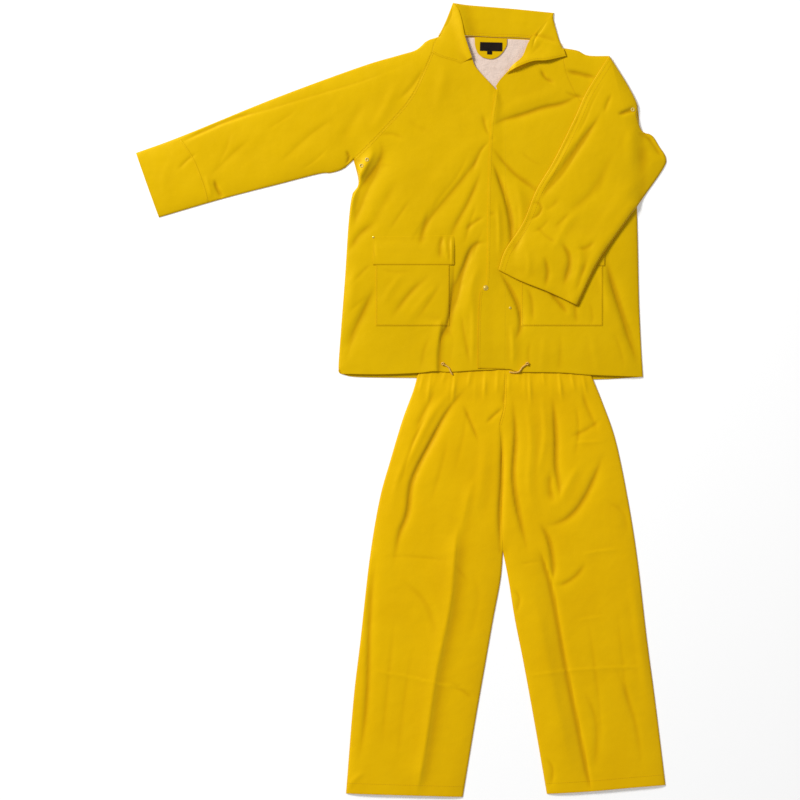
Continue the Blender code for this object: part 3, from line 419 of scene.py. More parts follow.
SLEEVE_R_CREASES = [
    Crease([(425, 54), (400, 67), (360, 82), (330, 91), (263, 111), (227, 121), (180, 142)],
           4, 14, -0.9, 1.3, 0.0),
    Crease([(262, 111), (228, 121), (203, 132), (176, 145)], 3.5, 7, -2.4, 1.4, 0.1),
    Crease([(253, 137), (232, 155), (205, 182)], 12, 6, -0.9, 1.6, 0.2),
    Crease([(343, 113), (312, 134), (270, 172)], 12, 7, -1.0, 1.6, 0.2),
    Crease([(398, 80), (386, 108), (370, 134)], 12, 12, 1.2, 2.0, 0.1),
    Crease([(372, 96), (352, 122), (338, 152)], 14, 12, -1.0, 2.0, 0.1),
    Crease([(214, 178), (217, 189), (224, 201)], 7, 4, -3.2, 1.5, 0.2),
    Crease([(205, 174), (209, 186), (213, 199)], 5, 5, 1.2, 1.7, 0.2),
    Crease([(345, 150), (349, 157), (346, 166)], 4, 3, -2.4, 1.5, 0.0),
    Crease([(300, 108), (280, 122), (262, 132)], 4, 6, -0.4, 1.6, 0.1),
    Crease([(232, 128), (226, 150), (214, 172)], 4, 6, -0.4, 1.6, 0.1),
    Crease([(330, 146), (316, 160), (298, 172)], 4, 6, -0.5, 1.6, 0.1),
    Crease([(172, 158), (164, 182), (170, 202)], 10, 10, 0.6, 2.0, 0.1),
    Crease([(199, 152), (188, 160), (176, 172)], 5, 4, -1.0, 1.6, 0.1),
    Crease([(428, 62), (414, 84), (396, 104)], 8, 6, -1.4, 1.7, 0.1),
]
ARM_L_CREASES = [
    Crease([(604, 108), (593, 125), (580, 143), (563, 168), (546, 190), (536, 209)], 10, 4.2, -4.4, 1.3, 0.0),
    Crease([(594, 112), (582, 131), (562, 160), (542, 188), (533, 204)], 5, 8, 1.2, 1.7, 0.0),
    Crease([(604, 66), (588, 96), (576.5, 121), (555.5, 163), (538.5, 192), (529, 212), (512, 246)],
           2.6, 2.6, -0.8, 1.3, 0.0),
    Crease([(609, 74), (594, 99), (583, 124), (562, 166), (546, 193)], 2.6, 2.6, -0.7, 1.3, 0.0),
    Crease([(529, 205), (537, 203), (541, 208), (538, 215), (527, 222)], 4, 4, -1.8, 1.5, 0.0),
    Crease([(534, 210), (523, 226), (512, 256)], 8, 6, -2.4, 1.6, 0.1),
    Crease([(642, 132), (652, 142), (665, 160)], 12, 7, -2.6, 1.6, 0.3),
    Crease([(636, 124), (630, 146), (634, 172)], 14, 14, 1.6, 2.0, 0.2),
    Crease([(637, 107), (632, 110), (624, 113), (616, 115)], 6, 4, -4.2, 1.5, -0.3),
    Crease([(559, 240), (569, 260), (562, 290)], 8, 6, -3.2, 1.6, 0.1),
    Crease([(573, 238), (580, 258), (573, 288)], 7, 8, 1.4, 1.8, 0.1),
    Crease([(543, 254), (547, 272), (544, 290)], 7, 5, -2.2, 1.6, 0.1),
    Crease([(534, 224), (546, 237), (560, 246)], 6, 4, -0.8, 1.6, 0.1),
    Crease([(570, 212), (560, 222), (552, 229)], 6, 4, -0.8, 1.6, 0.1),
    Crease([(551, 216), (541, 228), (530, 234)], 5, 4, -0.7, 1.6, 0.1),
    Crease([(582, 208), (566, 226), (550, 256)], 8, 9, 1.2, 1.8, 0.1),
    Crease([(604, 170), (588, 196), (562, 216)], 14, 10, -1.4, 1.8, 0.1),
    Crease([(616, 150), (604, 172), (596, 204)], 12, 12, -0.9, 1.8, 0.1),
    Crease([(645, 166), (616, 206), (586, 254)], 16, 16, 1.2, 2.0, 0.1),
    Crease([(526, 248), (529, 264), (526, 280)], 6, 6, 1.0, 1.8, 0.1),
    Crease([(588, 256), (581, 276), (574, 300)], 8, 6, -1.6, 1.8, 0.1),
    Crease([(596, 240), (586, 248), (572, 250)], 6, 6, -1.2, 1.7, 0.1),
    Crease([(612, 92), (606, 106), (603, 116)], 6, 5, -1.4, 1.6, 0.1),
    Crease([(560, 196), (552, 206), (540, 212)], 8, 7, -1.0, 1.7, 0.1),
]
LEG_CREASES = [
    Crease([(586, 610), (596, 680), (604, 760)], 7, 5, -0.6, 1.7, 0.1),
    Crease([(616, 600), (622, 660), (632, 740)], 7, 5, -0.5, 1.7, 0.1),
    Crease([(395, 610), (388, 680), (380, 760)], 8, 5, -0.6, 1.7, 0.1),
    Crease([(414, 640), (404, 700), (396, 770)], 8, 5, -0.4, 1.7, 0.1),
    Crease([(575, 400), (578, 430), (574, 460)], 6, 4, -0.9, 1.6, 0.1),
    Crease([(450, 430), (440, 470), (428, 510)], 8, 5, -0.6, 1.7, 0.1),
    Crease([(470, 400), (462, 440), (452, 480)], 8, 5, -0.5, 1.7, 0.1),
    Crease([(462, 520), (456, 540), (450, 603), (436.5, 670), (426, 740), (416, 800)],
           10, 28, 6.0, 1.15, 0.0),
    Crease([(475, 474), (467, 502), (459, 540)], 9, 16, 2.0, 1.3, 0.0),
    Crease([(538, 545), (552, 590), (566.5, 668), (579, 730), (592, 796)], 5, 15, -5.4, 1.15, 0.0),
    Crease([(514, 566), (534, 604), (548, 668), (561, 730), (575, 796)], 14, 26, 2.6, 2.0, 0.0),
    Crease([(474, 381), (450, 407), (430, 443), (412, 480), (407, 513), (398, 537), (392, 574)],
           11, 4.6, -5.2, 1.4, 0.0),
    Crease([(462, 380), (436, 408), (416, 444), (398, 482), (390, 520)], 9, 10, 2.0, 2.0, 0.1),
    Crease([(430, 410), (414, 440), (402, 476), (394, 500)], 7, 4.5, -1.8, 1.5, 0.1),
    Crease([(512, 392), (515, 437), (513, 477), (518, 513), (529, 560)], 11, 5.0, -4.8, 1.4, 0.1),
    Crease([(525, 390), (531, 440), (529, 486), (538, 524)], 9, 8, 1.6, 1.8, 0.1),
    Crease([(552, 390), (555.5, 436), (556, 468), (562, 510)], 11, 6.0, -4.8, 1.4, 0.1),
    Crease([(541, 388), (545, 436), (537, 482)], 8, 8, 1.4, 1.8, 0.1),
    Crease([(604, 452), (586, 494), (568, 517), (541, 528)], 12, 6, -3.6, 1.4, 0.1),
    Crease([(538, 520), (548, 540), (552, 560), (553.5, 590)], 10, 4.2, -4.4, 1.4, 0.0),
    Crease([(550, 586), (562, 584), (576, 575), (587, 560)], 5, 9, -1.8, 1.5, 0.1),
    Crease([(551, 468), (550, 487), (553, 506)], 9, 10, -2.6, 2.0, 0.3),
    Crease([(461, 402), (470, 422), (480, 446)], 7, 3, -2.0, 1.3, 0.1),
    Crease([(484, 425), (494, 415), (506, 405)], 3.6, 7, -1.8, 1.4, 0.1),
    Crease([(500.5, 418), (502, 447), (501.7, 480), (500, 513), (499.5, 560)], 7, 5.0, -6.4, 1.4, 0.0),
    Crease([(505, 372), (504.5, 392), (503, 412)], 4, 5, -2.4, 1.4, 0.0),
    Crease([(370, 670), (410, 677), (436, 683), (475, 690)], 3, 4, 0.7, 1.15, 0.0),
    Crease([(526, 676), (566, 670.5), (600, 668), (643, 666)], 3, 4, 0.8, 1.15, 0.0),
    Crease([(572, 622), (590, 618), (608, 616)], 3, 3.5, 0.6, 1.4, 0.0),
    Crease([(578, 555), (600, 551), (622, 549)], 3, 4, 0.8, 1.4, 0.0),
    Crease([(518, 565), (530, 562), (543, 561)], 3, 4, -0.6, 1.4, 0.0),
    Crease([(566, 438), (585, 430), (603, 418)], 4, 8, -1.4, 1.4, 0.0),
    Crease([(570, 443), (588, 442), (606, 441)], 3, 4, 0.9, 1.5, 0.0),
    Crease([(378, 540), (370, 603), (366, 703), (356, 780)], 12, 5, -3.0, 1.5, 0.1),
    Crease([(400, 578), (425, 602), (438, 640)], 8, 10, -0.8, 1.7, 0.1),
    Crease([(450, 556), (459, 570), (470, 584)], 6, 4, -0.5, 1.5, 0.1),
    Crease([(580, 684), (596, 723), (593, 784)], 12, 8, -1.6, 1.8, 0.1),
    Crease([(614, 660), (634, 720), (642, 772)], 9, 7, -1.3, 1.8, 0.1),
    Crease([(628, 550), (640, 640), (651, 730)], 10, 12, 1.6, 2.0, 0.1),
    Crease([(448, 684), (462, 690), (476, 702)], 8, 6, -1.2, 1.6, 0.1),
    Crease([(472, 566), (478, 600), (466, 650)], 10, 8, -0.5, 2.0, 0.1),
    Crease([(486, 430), (482, 480), (472, 524)], 14, 14, 1.6, 2.0, 0.1),
    Crease([(511, 586), (519, 598), (515, 616)], 5, 5, -1.4, 1.6, 0.1),
    Crease([(543, 756), (552, 768), (550, 790)], 6, 5, -1.5, 1.6, 0.1),
    Crease([(380, 561), (400, 556), (454, 560)], 3, 3.5, -0.5, 1.4, 0.0),
    Crease([(366, 770), (352, 782), (346, 792)], 6, 7, 1.2, 1.8, 0.1),
    Crease([(604, 500), (622, 512), (628, 540)], 9, 9, -1.1, 1.8, 0.1),
    Crease([(583, 458), (566, 488), (556, 512)], 10, 9, 1.6, 1.8, 0.1),
    Crease([(578, 384), (588, 410), (600, 436)], 8, 6, -1.6, 1.7, 0.1),
    Crease([(436, 388), (424, 412), (412, 436)], 7, 6, -1.4, 1.7, 0.1),
]
HIDDEN_CREASES = [
    Crease([(420, 120), (440, 220), (410, 330)], 22, 22, -0.35, 2.0, 0.1),
    Crease([(560, 110), (540, 230), (570, 350)], 24, 20, -0.30, 2.0, 0.1),
    Crease([(300, 110), (240, 150), (180, 170)], 16, 18, -0.30, 2.0, 0.1),
    Crease([(430, 430), (420, 600), (400, 780)], 16, 16, -0.35, 2.0, 0.1),
    Crease([(560, 430), (580, 600), (610, 770)], 16, 16, -0.35, 2.0, 0.1),
]

# The gathers: how many, from where to where, and how far down they start, bend and end.
PLEATS = 26
PLEAT_X = (428, 586)
PLEAT_Y = (352, 378, 398)
PLEAT_MIDDLE = 505


def creased(p, creases):
    """Height of a table of creases: each falls off on both sides of its line as e to the minus a power of the
    distance in widths, and fades out at its two ends."""
    total = np.zeros(len(p))
    for crease in creases:
        line = smooth(crease.line, CREASE_STEP)
        skirt = SHARP_SKIRT if crease.point < SHARP else SOFT_SKIRT
        widest = skirt * max(crease.left, crease.right) * (1 + crease.spread) * MM
        near = np.all((p > line.min(axis=0) - widest) & (p < line.max(axis=0) + widest), axis=1)
        if not near.any():
            continue
        q = p[near]
        a, along = line[:-1], np.diff(line, axis=0)
        gap = q[:, None] - a
        t = np.clip(np.sum(gap * along, axis=2) / np.sum(along * along, axis=1), 0, 1)
        off = gap - t[..., None] * along
        far = np.sum(off * off, axis=2)
        best = np.argmin(far, axis=1)
        row = np.arange(len(q))
        turn = along[best, 0] * gap[row, best, 1] - along[best, 1] * gap[row, best, 0]
        far_along = length_along(line)
        s = (far_along[best] + t[row, best] * np.diff(far_along)[best]) / far_along[-1]
        width = np.where(turn > 0, crease.left, crease.right) * MM * (1 + crease.spread * (2 * s - 1))
        bell = np.exp(-(np.sqrt(far[row, best]) / width) ** crease.point)
        fade = PRESSED_FADE if crease.point < PRESSED else SOFT_FADE
        total[near] += crease.height * MM * bell * ease(s / fade) * ease((1 - s) / fade)
    return total


# Soft hills: the height in mm, the size, the number of the random draw, and the turn and stretch if any.
LEG_HILLS = ((0.5, 0.060, 3), (0.10, 0.022, 4, 1.45, 2.2))
FRONT_HILLS = ((0.5, 0.060, 7), (0.10, 0.024, 8, 0.9, 2.2))
ARM_HILLS = ((0.5, 0.05, 11), (0.14, 0.020, 12, 2.1, 1.8))
CUFF_HILLS = ((0.35, 0.016, 13, 0.8, 1.6),)
COLLAR_HILLS = ((0.35, 0.03, 21),)
LINING_HILLS = ((0.3, 0.022, 41),)
LABEL_HILLS = ((0.2, 0.008, 43),)
# The draws fill a lattice that repeats, and the shift keeps the places on it above 0.
LATTICE = 97
LATTICE_SHIFT = 300


def rumple(p, size, seed, turn=0.0, stretch=1.0):
    """Soft hills between -1 and 1 of about that size: random heights on a lattice, joined by parabolas. They
    are drawn out along one direction by stretch."""
    lattice = np.random.default_rng(seed).uniform(-1, 1, (LATTICE, LATTICE))
    c, s = np.cos(turn), np.sin(turn)
    u = (p[:, 0] * c + p[:, 1] * s) / (size * stretch) + LATTICE_SHIFT
    v = (-p[:, 0] * s + p[:, 1] * c) / size + LATTICE_SHIFT
    return spread_over(lattice, u, v, wrap=True)


def uneven(p, rows):
    """Rows of soft hills added up, each row's height times its hills."""
    return sum(height * MM * rumple(p, *shape) for height, *shape in rows)


def spread_over(values, u, v, wrap=False):
    """Values of a lattice at places between its points, as parabolas that meet with level slopes."""
    i, j = np.rint(u).astype(int), np.rint(v).astype(int)
    fu, fv = u - i, v - j
    wu = (0.5 * (0.5 - fu) ** 2, 0.75 - fu ** 2, 0.5 * (0.5 + fu) ** 2)
    wv = (0.5 * (0.5 - fv) ** 2, 0.75 - fv ** 2, 0.5 * (0.5 + fv) ** 2)
    rows, columns = values.shape
    total = np.zeros(len(u))
    for dj in (-1, 0, 1):
        for di in (-1, 0, 1):
            jj, ii = j + dj, i + di
            if wrap:
                jj, ii = jj % rows, ii % columns
            else:
                jj, ii = np.clip(jj, 0, rows - 1), np.clip(ii, 0, columns - 1)
            total += values[jj, ii] * wu[di + 1] * wv[dj + 1]
    return total


class Lay:
    """A layer's heights on an even lattice over a part of the sheet, read smoothly between its points."""

    def __init__(self, top, corner_a, corner_b, step=0.003):
        """The heights top gives at the lattice between two corners on the sheet."""
        low, high = place([(corner_a[0], corner_b[1]), (corner_b[0], corner_a[1])])
        self.low, self.step = low, step
        xs = np.arange(low[0], high[0], step)
        ys = np.arange(low[1], high[1], step)
        lattice = np.column_stack((np.tile(xs, len(ys)), np.repeat(ys, len(xs))))
        self.values = top(lattice).reshape(len(ys), len(xs))

    def widened(self, radius):
        """The highest within radius of each point, so that cloth laid on it clears it."""
        cells = int(np.ceil(radius / self.step))
        padded = np.pad(self.values, cells, mode="edge")
        rows, columns = self.values.shape
        highest = self.values.copy()
        for j in range(-cells, cells + 1):
            for i in range(-cells, cells + 1):
                if i * i + j * j <= (radius / self.step) ** 2 + 0.5:
                    highest = np.maximum(highest, padded[cells + j:cells + j + rows,
                                                         cells + i:cells + i + columns])
        self.values = highest
        return self

    def eased(self, times):
        """Each point drawn towards the mean of its neighbours, as cloth bridges a step."""
        for _ in range(times):
            z = np.pad(self.values, 1, mode="edge")
            z = (z[:-2] + 2 * z[1:-1] + z[2:]) / 4
            self.values = (z[:, :-2] + 2 * z[:, 1:-1] + z[:, 2:]) / 4
        return self

    def at(self, p):
        """The heights at some places."""
        return spread_over(self.values, (p[:, 0] - self.low[0]) / self.step,
                           (p[:, 1] - self.low[1]) / self.step)


jacket_folds = [coarse(t) for t in (SLEEVE_R_TOP, SLEEVE_R_UNDER, SIDE_R, SIDE_L, SHOULDER_L,
                                          HEAD_FOLD_L)]
collar_folds = [coarse(t) for t in (COLLAR_OUTER_R, COLLAR_OUTER_L)]
arm_folds = [coarse(t) for t in (ARM_L_OUTER, ARM_L_INNER)]
leg_folds = [coarse(t) for t in (OUTSEAM_R, OUTSEAM_L, INSEAM_R, INSEAM_L)]


def quarter_round(away, width):
    """0 to 1 over a width, as a quarter of a circle rises."""
    return np.sqrt(1 - (1 - np.clip(away / width, 0, 1)) ** 2)


def rolled(p, folds, rest, full, roll=ROLL, slow=EDGE_ROUND):
    """Heights of a tube's upper layer: a quarter of an ellipse up from what it rests on at its folded edges,
    and a slow rise to its whole loft further in."""
    away = nearest_of(p, folds)
    quarter = quarter_round(away, roll)
    start = rest + EDGE_START
    return start + (full - start) * quarter + LOFT * (1 - np.exp(-away / slow)) * quarter


def pleats():
    """The gathers under the waistband, unevenly spaced, as creases that fade towards the legs."""
    out = []
    top, bend, end = PLEAT_Y
    for i, x in enumerate(np.linspace(*PLEAT_X, PLEATS)):
        x = x + 1.6 * np.sin(2.3 * i)
        spread = x - PLEAT_MIDDLE
        foot = end + 13 * np.sin(1.7 * i)
        height = 1.4 + 1.0 * np.sin(2.9 * i)
        out.append(Crease([(x, top), (x + spread * 0.07, bend), (x + spread * 0.13, foot)],
                          4.2 + np.sin(3.1 * i), 4.4, height, 1.6, -0.1))
    return out


leg_creases = LEG_CREASES + pleats()


# Where the trousers step up on to the jacket's back, and where the jacket starts to press them flatter, as y
# on the sheet from start to end.
HEM_STEP_Y = (402, 379)
PRESSED_Y = (392, 368)
PRESSED_SHARE = 0.75


def leg_seat(p):
    """The trousers lie on the floor, and step up on to the jacket's back at its hem."""
    return LEG_STEP_UP * rising(p, *HEM_STEP_Y)


def leg_top(p):
    """Upper face of the trousers' fronts, pressed flatter under the jacket."""
    seat = leg_seat(p)
    z = rolled(p, leg_folds, seat, seat + LAYER)
    free = creased(p, leg_creases) + uneven(p, LEG_HILLS)
    away = nearest_of(p, leg_folds)
    pressed = 1 - PRESSED_SHARE * rising(p, *PRESSED_Y)
    flat = np.minimum(z, seat + LAYER)
    return np.maximum(flat + (z + free * ease(away / 0.008) - flat) * pressed, flat)


leg_r = loop_of(RISE, INSEAM_R, LEG_HEM_R, OUTSEAM_R, WAIST_SEAM_R)
leg_l = loop_of(RISE, INSEAM_L, LEG_HEM_L, OUTSEAM_L, WAIST_SEAM_L[::-1])
band = place(WAIST)


def band_top(p):
    """Upper face of the waistband's front, drawn up in small even gathers."""
    x = p[:, 0] / SQUARE
    return leg_seat(p) + LAYER + 0.0011 + 0.5 * MM * np.sin(x * 1.1) * np.sin(x * 0.13)


def trousers_under_jacket(p):
    """Upper face of the trousers where the jacket's fronts cover them, and 0 beside them."""
    top = np.where(inside(leg_r, p) | inside(leg_l, p), leg_top(p), 0.0)
    return np.where(inside(band, p), band_top(p), top)


over_trousers = Lay(trousers_under_jacket, (370, 290), (640, 410)).widened(0.010).eased(40)


# Less than this is bare floor, and BLEND is how softly the fronts pass from one bed to the other.
BARE_FLOOR = 0.0008
BLEND = 0.0016


def body_layer(p):
    """Upper face of the jacket's fronts, raglan head and right sleeve, off the back and over the trousers."""
    z = rolled(p, jacket_folds, np.zeros(len(p)), np.full(len(p), LAYER))
    covered = over_trousers.at(p) + CLOTH + SEAM_GAP
    covered = np.where(over_trousers.at(p) < BARE_FLOOR, 0.0, covered)
    z = z + 0.5 * (covered - z + np.sqrt((covered - z) ** 2 + BLEND ** 2))
    free = creased(p, FRONT_CREASES + SLEEVE_R_CREASES) + uneven(p, FRONT_HILLS)
    away = nearest_of(p, jacket_folds)
    z_low = np.maximum(np.minimum(z, LAYER), covered)
    return np.maximum(z + free * ease(away / 0.007), z_low)


front_outline = loop_of(NECK_SEAM, RAGLAN_L, SIDE_L, FRONT_L_HEM, FRONT_R_HEM, SIDE_R, RAGLAN_R,
                        COLLAR_SEAM_SIDE_R)
head_outline = loop_of(SHOULDER_L, HEAD_FOLD_L, RAGLAN_L)


def bump_at(p, x, y, radius, height):
    """A round dimple or rise about a place."""
    away = np.linalg.norm(p - place([(x, y)]), axis=1)
    return hump(away, height, radius)


# The right pocket flap's loose end is pinched up.
FLAP_CREASES = [
    Crease([(451.6, 232), (452, 250), (452.4, 270)], 2.0, 2.6, 2.8, 1.4, 0.0),
    Crease([(445, 234), (446.6, 250), (449.6, 266)], 1.8, 5.0, 1.6, 1.3, 0.0),
]
FLAP_BUTTONS = [(492, 139), (492, 214)]


def storm_lift(p):
    """How far the storm flap's face stands over the fronts' own: most at its free edge, least at its seam."""
    free = reach(p, storm_line)
    seam = reach(p, storm_seam_line)
    return STORM_STAND * (1 - ease(free / 0.036)) * ease(seam / 0.014)


storm_line = coarse(STORM_EDGE)
storm_seam_line = coarse(STORM_SEAM)


def storm_top(p):
    """Upper face of the storm flap, with the hollows where its hidden studs hold it down."""
    z = body_layer(p) + storm_lift(p)
    for x, y in FLAP_BUTTONS:
        z += bump_at(p, x, y, 0.006, -0.0008)
    return z


def right_front_top(p):
    """The right front dips under the storm flap."""
    return body_layer(p) - UNDER_FLAP_DIP * ease((sheet_x(p) - 488) / 9)


def pocket_top(p):
    """A pocket lies on its front."""
    return body_layer(p) + POCKET_STAND


def pocket_flap_top(p):
    """A pocket's flap lies on the pocket, and its loose corner lifts."""
    x, y = sheet_x(p), sheet_y(p)
    lift = ease((y - 236) / 14) * np.maximum(ease((x - 373) / 4), ease((y - 250) / 12))
    pinch = np.maximum(creased(p, FLAP_CREASES), -0.0001)
    return body_layer(p) + 0.0001 + lift * FLAP_STAND + pinch


def collar_top_right(p):
    """The collar's right end: a soft roll along its outer fold, loose at its inner edge, and level with the
    front at its seam."""
    z = rolled(p, collar_folds[:1] + jacket_folds[:1], np.zeros(len(p)), np.full(len(p), LAYER))
    away = reach(p, coarse(COLLAR_INNER_R), NEAR)
    z = z + hump(away, height=0.0052, width=0.016)
    low_edge = reach(p, coarse(COLLAR_SEAM_R), NEAR)
    level_in = ease(low_edge / 0.028)
    return body_layer(p) * (1 - level_in) + np.maximum(z, LAYER) * level_in


COLLAR_START = 0.0010
COLLAR_BACK_START = 0.0006
COLLAR_BACK_HEIGHT = 0.0022
COLLAR_CREASES = [
    Crease([(549, 18), (541, 30), (535, 39), (531, 52)], 2.8, 2.8, -1.7, 1.3, 0.0),
    Crease([(545, 40), (538, 48), (528, 58)], 4, 6, -0.4, 1.6, 0.1),
]


def collar_bed(p):
    """What the collar's left end turns over."""
    on_front = inside(front_outline, p) | inside(head_outline, p)
    return np.where(on_front, body_layer(p), CLOTH)


over_bed = Lay(collar_bed, (495, 5), (580, 90)).widened(0.006).eased(4)


def collar_top_left(p):
    """The collar's left end, turned over the left front: it stands off most along the middle of its lower
    edge."""
    z = over_bed.at(p) + CLOTH + SEAM_GAP
    low_edge = reach(p, coarse(COLLAR_LOWER_L))
    x = sheet_x(p)
    stand = ease((x - 505) / 12) * ease((568 - x) / 26)
    z = z + hump(low_edge, COLLAR_STAND, width=0.020) * stand + 0.0016
    outer = reach(p, collar_folds[1], NEAR)
    quarter = quarter_round(outer, COLLAR_ROLL)
    inner = reach(p, coarse(COLLAR_INNER_L), NEAR)
    z = z + hump(inner, height=0.0006, width=0.010, centre=0.012) + creased(p, COLLAR_CREASES)
    return COLLAR_START + (z - COLLAR_START) * quarter


def collar_back_top(p):
    """The collar's back, laid up from the neck: two cloths thick, soft at its folded top."""
    top = reach(p, coarse(COLLAR_TOP), NEAR)
    quarter = quarter_round(top, COLLAR_TOP_ROLL)
    free = uneven(p, COLLAR_HILLS) + 0.0012 * ease(top / 0.03) * ease((0.075 - top) / 0.03)
    drawn_up = reach(p, coarse(COLLAR_INNER_R[:4]), NEAR)
    free += hump(drawn_up, height=0.0060, width=0.015, point=1.6)
    return COLLAR_BACK_START + (COLLAR_BACK_HEIGHT + free) * quarter


def stack_top(p):
    """Upper face of all that the swung sleeve lies on."""
    on_body = inside(front_outline, p) | inside(head_outline, p)
    z = np.where(on_body, body_layer(p), 0.0)
    for outline, stand in ((place(POCKET_FLAP_L), FLAP_OVER), (place(POCKET_L), POCKET_OVER),
                           (storm_outline, STORM_STAND)):
        z = np.where(inside(outline, p), z + stand, z)
    return z


storm_outline = loop_of(STORM_EDGE, STORM_HEM, STORM_SEAM)
arm_bed = Lay(stack_top, (480, 40), (684, 322)).widened(0.0075).eased(20)
arm_stand = coarse([(634, 212), (613, 241), (596.5, 266), (577.5, 306)])


def arm_low_top(p):
    """Upper face of the swung sleeve's lower layer, draped over the body and down to the floor."""
    return arm_bed.at(p) + CLOTH + SEAM_GAP


def arm_top(p):
    """Upper face of the swung sleeve: soft along its outer fold, pressed along its inner one, and standing
    off the fronts along the lower part of its outer fold."""
    rest = arm_bed.at(p)
    z = np.minimum(rolled(p, arm_folds[:1], rest, rest + LAYER + SEAM_GAP),
                   rolled(p, arm_folds[1:], rest, rest + LAYER, PRESSED_ROLL, PRESSED_ROUND))
    away = nearest_of(p, arm_folds)
    low_edge = reach(p, arm_stand)
    stand = hump(low_edge, ARM_STAND, width=0.016, centre=0.010)
    z = z + stand * ease((low_edge - 0.0004) / 0.004)
    free = creased(p, ARM_L_CREASES) + uneven(p, ARM_HILLS)
    cuff = ease((sheet_y(p) - 232) * SQUARE / 0.04)
    free += cuff * uneven(p, CUFF_HILLS)
    return np.maximum(z + free * ease(away / 0.012), np.minimum(z, rest + LAYER + SEAM_GAP))


def back_top(p):
    """The jacket's back and the trousers' backs: level on the floor, with faint creases."""
    return CLOTH * 0.98 + creased(p, HIDDEN_CREASES) + 0.15 * MM * (rumple(p, 0.05, 31) - 1)


def leg_back_top(p):
    """The trousers' backs."""
    return back_top(p) + leg_seat(p)


# Finishes

def new_material(name):
    """An empty finish: its node tree and its shader."""
    material = bpy.data.materials.new(name)
    material.use_nodes = True
    return material, material.node_tree, material.node_tree.nodes["Principled BSDF"]


def node(tree, kind, **settings):
    """A new node, its settings given as its own values or as its inputs'."""
    made = tree.nodes.new(kind)
    for key, value in settings.items():
        if hasattr(made, key):
            setattr(made, key, value)
        else:
            made.inputs[key].default_value = value
    return made


def mottle(tree, scale, detail, low, high, coords):
    """Noise in object coordinates, spread between low and high."""
    noise = node(tree, "ShaderNodeTexNoise", Scale=scale, Detail=detail, Roughness=0.55)
    tree.links.new(coords, noise.inputs["Vector"])
    spread = node(tree, "ShaderNodeMapRange")
    for socket, value in (("From Min", 0.3), ("From Max", 0.7), ("To Min", low), ("To Max", high)):
        spread.inputs[socket].default_value = value
    tree.links.new(noise.outputs["Fac"], spread.inputs["Value"])
    return spread.outputs["Result"]


def blend_of(tree, factor, colour_a, colour_b):
    """A mix of two colours, each a colour or another node's output."""
    mix = node(tree, "ShaderNodeMix", data_type="RGBA")
    for socket, colour in ((mix.inputs[6], colour_a), (mix.inputs[7], colour_b)):
        if isinstance(colour, tuple):
            socket.default_value = (*colour, 1.0)
        else:
            tree.links.new(colour, socket)
    tree.links.new(factor, mix.inputs[0])
    return mix.outputs[2]


def bumped(tree, height, distance, normal=None):
    """The surface's direction, tipped by a height, on top of another direction."""
    bump = node(tree, "ShaderNodeBump", Strength=1.0, Distance=distance)
    tree.links.new(height, bump.inputs["Height"])
    if normal is not None:
        tree.links.new(normal, bump.inputs["Normal"])
    return bump.outputs["Normal"]


def coated_cloth(name, colour, light, deep, seed):
    """Cloth with a satin plastic coat: slight clouding, a fine grain, small puckers, and painted shade in its
    deep colour along its seams and in its troughs."""
    material, tree, shader = new_material(name)
    coords = node(tree, "ShaderNodeTexCoord").outputs["Object"]
    shift = node(tree, "ShaderNodeMapping", Location=(seed * 1.7, seed * 0.9, 0))
    tree.links.new(coords, shift.inputs["Vector"])
    coords = shift.outputs["Vector"]
    clouds = mottle(tree, 7.0, 4.0, 0.0, 1.0, coords)
    worn = blend_of(tree, clouds, colour, light)
    # The seam attribute is painted shade: each point's share of the deep colour along sewn edges and in
    # hollows.
    seam = node(tree, "ShaderNodeAttribute", attribute_name="seam").outputs["Fac"]
    shaded = blend_of(tree, seam, worn, deep)
    tree.links.new(shaded, shader.inputs["Base Color"])
    tree.links.new(mottle(tree, 30.0, 3.0, 0.36, 0.46, coords), shader.inputs["Roughness"])
    pucker = bumped(tree, mottle(tree, 16.0, 2.0, 0.0, 1.0, coords), 0.0007)
    small = bumped(tree, mottle(tree, 70.0, 1.0, 0.0, 1.0, coords), 0.00007, pucker)
    grain = bumped(tree, mottle(tree, 1100.0, 1.0, 0.0, 1.0, coords), 0.000012, small)
    tree.links.new(grain, shader.inputs["Normal"])
    shader.inputs["Specular IOR Level"].default_value = 0.45
    shader.inputs["Specular Tint"].default_value = (1.0, 0.72, 0.10, 1.0)
    return material


def woven(name, colour, deep, threads, roughness):
    """Plain woven cloth: two crossed sets of fine waves, with slight clouding."""
    material, tree, shader = new_material(name)
    coords = node(tree, "ShaderNodeTexCoord").outputs["Object"]
    heights = []
    for direction in ("X", "Y"):
        wave = node(tree, "ShaderNodeTexWave", bands_direction=direction, Scale=threads)
        tree.links.new(coords, wave.inputs["Vector"])
        heights.append(wave.outputs["Fac"])
    weave = node(tree, "ShaderNodeMath", operation="MULTIPLY")
    tree.links.new(heights[0], weave.inputs[0])
    tree.links.new(heights[1], weave.inputs[1])
    clouds = mottle(tree, 30.0, 3.0, 0.0, 0.6, coords)
    tree.links.new(blend_of(tree, clouds, colour, deep), shader.inputs["Base Color"])
    normal = bumped(tree, weave.outputs["Value"], 0.0002)
    normal = bumped(tree, mottle(tree, 60.0, 2.0, 0.0, 1.0, coords), 0.0008, normal)
    tree.links.new(normal, shader.inputs["Normal"])
    shader.inputs["Roughness"].default_value = roughness
    shader.inputs["Specular IOR Level"].default_value = 0.15
    return material


